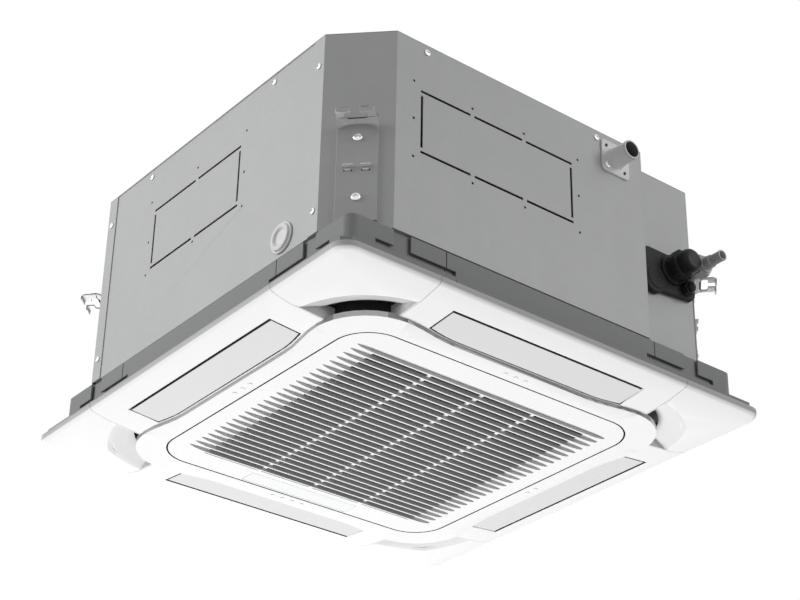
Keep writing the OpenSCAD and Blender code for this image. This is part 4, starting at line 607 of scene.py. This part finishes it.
def bracket(form, place, width):
    """A hanger bracket: plate, bend that widens at its sides, slotted shelf with two lips."""
    half = width / 2.0
    slot = min(13.0, 0.913 * half - 2.0)
    count = 25
    foot = 62.0
    x = np.linspace(-half, half, count)
    bend = 1.6 + 9.0 * np.abs(x / half) ** 3
    rings = []

    def ring(near_y, near_z, far_y, far_z):
        rings.append(place(np.concatenate([np.stack([x, near_y, near_z], -1),
                                           np.stack([x, far_y, far_z], -1)[::-1]])))

    for share in (0.0, 0.5, 0.9, 1.0):
        height = foot + share * (SHELF_LOW - foot - bend)
        ring(np.full(count, BRACKET_WALL), height, np.zeros(count), height)
    for turn in np.radians(np.arange(11.25, 91.0, 11.25)):
        ring(BRACKET_WALL + bend * (1 - np.cos(turn)), SHELF_LOW - bend * (1 - np.sin(turn)),
             BRACKET_WALL + bend - (bend + BRACKET_WALL) * np.cos(turn),
             SHELF_LOW - bend + (bend + BRACKET_WALL) * np.sin(turn))
    end = np.full(count, 12.7)
    ring(end, np.full(count, SHELF_LOW), end, np.full(count, SHELF_HIGH))
    form.loft(rings)
    side = 0.96 * half
    shelf = ([(-half, 12.6), (-side, 20.0)] + arc(-side + 6.0, 26.0, 6.0, 180, 90)
             + [(-5.5, 32.0), (-5.5, 21.5)] + arc(-slot + 2.5, 18.2, 3.0, 90, 180, 5)
             + arc(-slot + 5.0, 15.2, 5.0, 180, 270) + arc(slot - 5.0, 15.2, 5.0, -90, 0)
             + arc(slot - 2.5, 18.2, 3.0, 0, 90, 5) + [(5.5, 21.5), (5.5, 32.0)]
             + arc(side - 6.0, 26.0, 6.0, 90, 0) + [(side, 20.0), (half, 12.6)])

    def lying(points):
        return place(np.stack([points[..., 0], points[..., 2], points[..., 1]], -1))

    form.plate(lying, shelf[::-1], [], SHELF_LOW, SHELF_HIGH)
    for sign in (-1.0, 1.0):
        middle = sign * (side - 1.5 + 5.5) / 2.0
        reach = (side - 1.5 - 5.5) / 2.0
        form.plate(place, rounded(middle, 186.0, reach, 3.6, 2.2), [], 30.0, 32.0)
        for low, high, wide, out in ((131.6, 132.8, 5.6, 6.2), (126.2, 127.2, 3.2, 4.2)):
            hook = rounded(sign * HOOK_ALONG, (low + high) / 2.0, wide, (high - low) / 2.0, 0.5, 3)
            form.plate(place, hook, [], 1.0, out)


def hangers():
    """Four brackets, and painted shadows: dark plates at the ends of their pressed hooks."""
    form, shade = Form(), Form()
    for angle, along, out, width in CORNERS:
        place = spot(angle, along, out, 0.0)
        bracket(form, place, width)
        for sign in (-1.0, 1.0):
            for end in (-1.0, 1.0):
                # Painted shadow: a thin dark plate at each end of a hook, where the slot would look
                # black.
                gap = rounded(sign * HOOK_ALONG + end * 3.9, 126.6, 0.9, 1.0, 0.4, 3)
                shade.plate(place, gap, [], 1.0, 2.1)
    form.make("hanger_bracket_set", "zinc_bracket", "cabinet", ["hanger_brackets"], 30.0, 0.35,
              True)
    shade.make("bracket_hook_painted_shadows", "dark_plastic", "cabinet", [], 30.0)


def drain():
    """Drain flange with slanted bolt holes, its stub with a double lip, and the inspection plug."""
    place = spot(180, -STUB_ALONG, BODY_HALF, STUB_HEIGHT)
    form = Form()
    tilt = np.radians(125.0)
    spin = np.array([[np.cos(tilt), np.sin(tilt)], [-np.sin(tilt), np.cos(tilt)]])
    slanted = np.array(rounded(0.0, 0.0, 3.1, 1.7, 1.6)) @ spin
    holes = [[tuple(point) for point in slanted + (shift, shift)] for shift in (14.5, -14.5)]
    form.plate(place, rounded(0.0, 0.0, 22.5, 22.5, 6.0), holes, 0.0, FLANGE_DEPTH)
    form.turned(place, [(-9.0, 12.4), (0.5, 15.2), (2.6, 15.0), (3.4, 14.1), (5.0, 13.5),
                        (8.0, 12.9), (14.0, 12.45), (26.5, 12.1), (27.0, 12.5), (28.4, 12.6),
                        (28.8, 12.25), (29.3, 12.45), (30.4, 12.45), (31.0, 11.9), (30.9, 10.4),
                        (30.2, 10.0), (4.0, 9.6), (-8.0, 9.4), (-8.2, 2.0)], 48)
    form.make("drain_flange_and_stub", "light_grey_plastic", "cabinet", ["drain_flange"], 34.0,
              0.45, True)
    # Painted shade: dark plates inside the flange's bolt holes make the holes read black.
    hole_shade = Form()
    for hole in holes:
        hole_shade.plate(place, hole, [], 0.2, 1.2)
    hole_shade.make("drain_hole_painted_shade", "dark_foam", "cabinet", [])
    screw = Form()
    pan_head(screw, spot(180, -91.0, BODY_HALF + FLANGE_DEPTH, 268.0), 4.0, 2.2)
    pan_head(screw, spot(180, -186.7, RECESS_OUT, 153.1), 4.2, 2.4)
    screw.make("fitting_screws", "screw_steel", "cabinet", [], 24.0)
    plug = Form()
    place = spot(90, -164.0, SIDE_OUT, 75.5)
    plug.turned(place,
                [(0.0, 18.4), (0.6, 19.0), (1.7, 19.0), (2.4, 18.5), (2.5, 17.6), (2.2, 17.1),
                 (2.9, 16.9), (4.4, 16.2), (5.0, 15.4), (5.0, 12.2), (4.6, 11.3), (3.0, 10.4),
                 (2.2, 9.6), (2.0, 8.0), (2.3, 4.0), (2.4, 1.0)], 56)
    plug.turned(place, [(-1.1, 14.0), (0.3, 14.0)], 40)
    plug.make("drain_check_plug", "light_grey_plastic", "cabinet", ["drain_plug"], 40.0)


def fittings():
    """The recess: gasket, gas nut with its blind cap, liquid nut with stub and small gland."""
    gasket = Form()
    lobe = (arc(-31.0, 14.0, 14.0, 90, 180) + arc(-31.0, -12.0, 14.0, 180, 225, 4)
            + arc(24.0, -14.0, 18.5, 225, 315) + arc(31.0, 14.0, 14.0, 0, 90))
    gasket.plate(spot(180, -212.0, RECESS_OUT, 172.0), lobe, [], 0.0, GASKET_OUT - RECESS_OUT)
    gasket.turned(spot(180, -190.0, RECESS_OUT, 160.0),
                  [(0.5, 15.5), (8.2, 15.5), (9.4, 14.6), (9.8, 12.5), (9.8, 2.0)])
    gasket.make("recess_gasket", "dark_foam", "cabinet", ["pipe_gasket"], 34.0, 1.3, True)
    gas = Form()
    base = spot(180, -218.0, GASKET_OUT, 179.0)
    gas.turned(base, [(-0.5, 17.0), (0.4, 19.6), (1.2, 20.3), (3.4, 20.3), (4.4, 19.2),
                      (5.0, 17.4), (8.6, 17.0)])
    gas.turned(base, [(8.0, 15.0, 1.0), (8.4, 18.4, 1.0), (9.6, 19.6, 1.0), (22.0, 19.6, 1.0),
                      (23.6, 18.4, 0.9), (24.0, 15.0, 0.4)])
    for turn in range(6):
        angle = np.radians(60.0 * turn + 30.0)

        def rim(points, angle=angle):
            """A place on the side of the nut: local Y points away from its axis."""
            x, y, z = points[..., 0], points[..., 1], points[..., 2]
            return base(np.stack([y * np.cos(angle) - x * np.sin(angle), z,
                                  y * np.sin(angle) + x * np.cos(angle)], -1))
        gas.plate(rim, rounded(0.0, 16.0, 6.4, 4.6, 1.6, 4), [], 15.0, 18.0)
    gas.turned(base, [(23.5, 15.6), (24.6, 16.0), (33.0, 15.2), (35.6, 14.2), (37.4, 12.4),
                      (38.2, 9.8), (38.4, 6.0), (38.4, 1.0)])
    gas.make("gas_nut_with_cap", "dark_plastic", "cabinet", ["gas_nut"], 34.0, 0.7, True)
    liquid = Form()
    base = spot(180, -248.0, 278.4, 187.0)
    liquid.turned(base, [(-12.5, 11.6), (-0.4, 11.9), (0.2, 10.0)])
    liquid.turned(base, [(-0.2, 11.0, 1.0), (0.0, 13.6, 0.8), (1.0, 14.5, 1.0), (13.8, 14.5, 1.0),
                         (15.0, 13.3, 0.8), (15.2, 10.0, 0.3)])
    liquid.turned(base, [(14.6, 9.0), (15.0, 11.0), (16.8, 11.2), (17.6, 10.6), (18.0, 8.4),
                         (27.0, 8.1), (27.6, 7.4), (28.0, 6.9), (42.4, 6.7), (42.8, 7.1),
                         (44.4, 7.1), (45.0, 6.6), (45.0, 5.4), (44.2, 4.9), (36.0, 4.7),
                         (35.8, 1.0)])
    liquid.make("liquid_nut_with_stub", "zinc_bracket", "cabinet", ["liquid_nut"], 34.0)
    gland = Form()
    base = spot(180, -239.0, GASKET_OUT, 159.0)
    gland.turned(base, [(-0.5, 8.2, 1.0), (0.4, 9.0, 1.0), (8.8, 9.0, 1.0), (9.6, 8.0, 0.7),
                        (9.7, 6.6, 0.0), (13.0, 5.9), (16.0, 2.4), (16.4, 0.8)], 36)
    gland.make("inlet_gland", "dark_plastic", "cabinet", ["cable_gland"], 34.0)


def grille():
    """Grille plate with its windows, 27 fins that run out into points on the border, three ribs.

    Along a fin's point the depth and the width fall as a quarter of an ellipse: the square root
    of one less the squared share of the point. The two lower long edges are rounded, so the light
    breaks on them."""
    flat = spot(0, 0.0, 0.0, 0.0)

    def lying(points):
        return flat(np.stack([points[..., 0], points[..., 2], points[..., 1]], -1))

    plate = Form()
    window = rounded(0.0, 0.45, FIN_HALF, 170.45, 0.5, 2)
    strip = rounded(0.0, 192.27, 80.4, 12.33, 0.8, 3)
    plate.plate(lying, rounded(0.0, 0.0, GRILLE_HALF, GRILLE_HALF, 45.0, 20), [window, strip],
                PLATE_LOW, PLATE_HIGH)
    for sign in (-1.0, 1.0):
        knuckle = spot(90, 167.3, -194.0 * sign, -16.3)
        plate.turned(knuckle, [(-4.0, 2.2), (-3.7, 2.6), (3.7, 2.6), (4.0, 2.2)], 24)
        plate.plate(knuckle, rounded(-1.3, -1.9, 1.3, 1.9, 0.4, 2), [], -3.9, 3.9)
    plate.make("grille_plate", "white_plastic", "intake_grille", ["grille_face"], 32.0, 0.35, True)

    fins = Form()
    half, pitch = 1.35, 12.7103
    over = FIN_HALF + FIN_POINT * np.array([0.998, 0.97, 0.9, 0.8, 0.65, 0.5, 0.3, 0.1, 0.002])
    stations = np.concatenate([-over, [-157.9, 0.0, 157.9], over[::-1]])
    for fin in range(27):
        middle = -171.2 + pitch * fin + half
        rings = []
        for x in stations:
            share = np.sqrt(max(0.0, 1.0 - max(0.0, (abs(x) - FIN_HALF) / FIN_POINT) ** 2))
            foot = PLATE_LOW - 4.3 * share
            top = -21.2 if abs(x) < FIN_HALF else -22.1
            w = half * (0.3 + 0.7 * share)
            r = min(0.55, 0.45 * (top - foot), 0.45 * w)
            section = [(-w, top), (-w, foot + r), (-w + 0.3 * r, foot + 0.3 * r), (-w + r, foot),
                       (w - r, foot), (w - 0.3 * r, foot + 0.3 * r), (w, foot + r), (w, top)]
            rings.append([(x, middle + y, z) for y, z in section])
        fins.loft(rings)
    rib = ((-2.5, -20.4), (-2.5, -22.5), (-2.0, -23.0), (2.0, -23.0), (2.5, -22.5), (2.5, -20.4))
    for middle in (-77.42, 0.0, 77.42):
        fins.loft([[(middle + x, y, z) for x, z in rib] for y in (-170.2, 171.0)])
    fins.make("grille_fins", "white_plastic", "intake_grille", [], 40.0)


sheet_fasteners()
hangers()
drain()
fittings()
grille()


# Camera, lamps and stage

def camera():
    """The photograph's view: 1972 pixels of focal length on 800, centre moved by the shift."""
    data = bpy.data.cameras.new("camera")
    data.lens = 88.75
    data.sensor_width = 36.0
    data.shift_x = -0.0788
    data.shift_y = -0.0331
    data.clip_end = 50.0
    eye = bpy.data.objects.new("camera", data)
    eye.location = (-1.3142, -1.6936, -1.0443)
    eye.rotation_euler = np.radians((90.0 + 30.404, 0.0, -40.018))
    bpy.context.scene.collection.objects.link(eye)
    bpy.context.scene.camera = eye


def lamp(name, place, target, size, power):
    """A square area lamp that looks from a place at a target, unseen by the camera, in metres
    and watts."""
    data = bpy.data.lights.new(name, "AREA")
    data.size = size
    data.energy = power
    light = bpy.data.objects.new(name, data)
    light.location = place
    aim = np.subtract(target, place)
    flat = np.hypot(aim[0], aim[1])
    light.rotation_euler = (np.arctan2(flat, -aim[2]), 0.0, np.arctan2(aim[1], aim[0]) - np.pi / 2)
    light.visible_camera = False
    bpy.context.scene.collection.objects.link(light)


def world(below, above):
    """Plain white surroundings for the camera and for gloss; elsewhere a soft light that grows
    evenly from the level below to the level above."""
    studio = bpy.data.worlds.new("studio")
    studio.use_nodes = True
    bpy.context.scene.world = studio
    tree = studio.node_tree
    back = tree.nodes["Background"]
    rays = tree.nodes.new("ShaderNodeLightPath")
    seen = rays.outputs["Is Camera Ray"]
    for kind in ("Is Transmission Ray", "Is Glossy Ray"):
        either = tree.nodes.new("ShaderNodeMath")
        either.operation = "MAXIMUM"
        tree.links.new(seen, either.inputs[0])
        tree.links.new(rays.outputs[kind], either.inputs[1])
        seen = either.outputs[0]
    way = tree.nodes.new("ShaderNodeTexCoord")
    parts = tree.nodes.new("ShaderNodeSeparateXYZ")
    tree.links.new(way.outputs["Generated"], parts.inputs[0])
    level = tree.nodes.new("ShaderNodeMapRange")
    level.inputs["From Min"].default_value = -1.0
    level.inputs["To Min"].default_value = below
    level.inputs["To Max"].default_value = above
    tree.links.new(parts.outputs["Z"], level.inputs["Value"])
    scale = tree.nodes.new("ShaderNodeMapRange")
    scale.inputs["To Max"].default_value = 1.0
    tree.links.new(level.outputs[0], scale.inputs["To Min"])
    tree.links.new(seen, scale.inputs["Value"])
    tree.links.new(scale.outputs[0], back.inputs["Strength"])
    back.inputs["Color"].default_value = (1.0, 1.0, 1.0, 1.0)


def floor(height, half):
    """A plain pale square floor under the camera, height and half side in metres."""
    paint = Paint("floor")
    cloud = paint.noise(0.8, 2.0)
    paint.set(base_color=paint.blend(cloud, 0.86, 0.9), roughness=cloud * 0.1 + 0.8)
    x = np.array([-half, half, half, -half])
    y = np.array([-half, -half, half, half])
    mesh = bpy.data.meshes.new("floor")
    mesh.from_pydata(list(zip(x, y, np.full(4, height))), [], [(0, 1, 2, 3)])
    mesh.materials.append(paint.material)
    ground = bpy.data.objects.new("floor", mesh)
    bpy.context.scene.collection.objects.link(ground)


bpy.context.scene.view_settings.view_transform = "Standard"
camera()
world(below=0.05, above=0.4)
cabinet_middle = (0.0, 0.0, 0.15)
lamp("left_lamp", (-5.1, 3.0, 2.0), cabinet_middle, 2.4, 214.0)
lamp("right_lamp", (3.0, -5.1, 2.0), cabinet_middle, 2.4, 104.0)
lamp("low_lamp", (0.0, 2.0, -4.6), (0.0, 0.0, 0.0), 2.4, 218.0)
floor(height=-6.0, half=9.0)
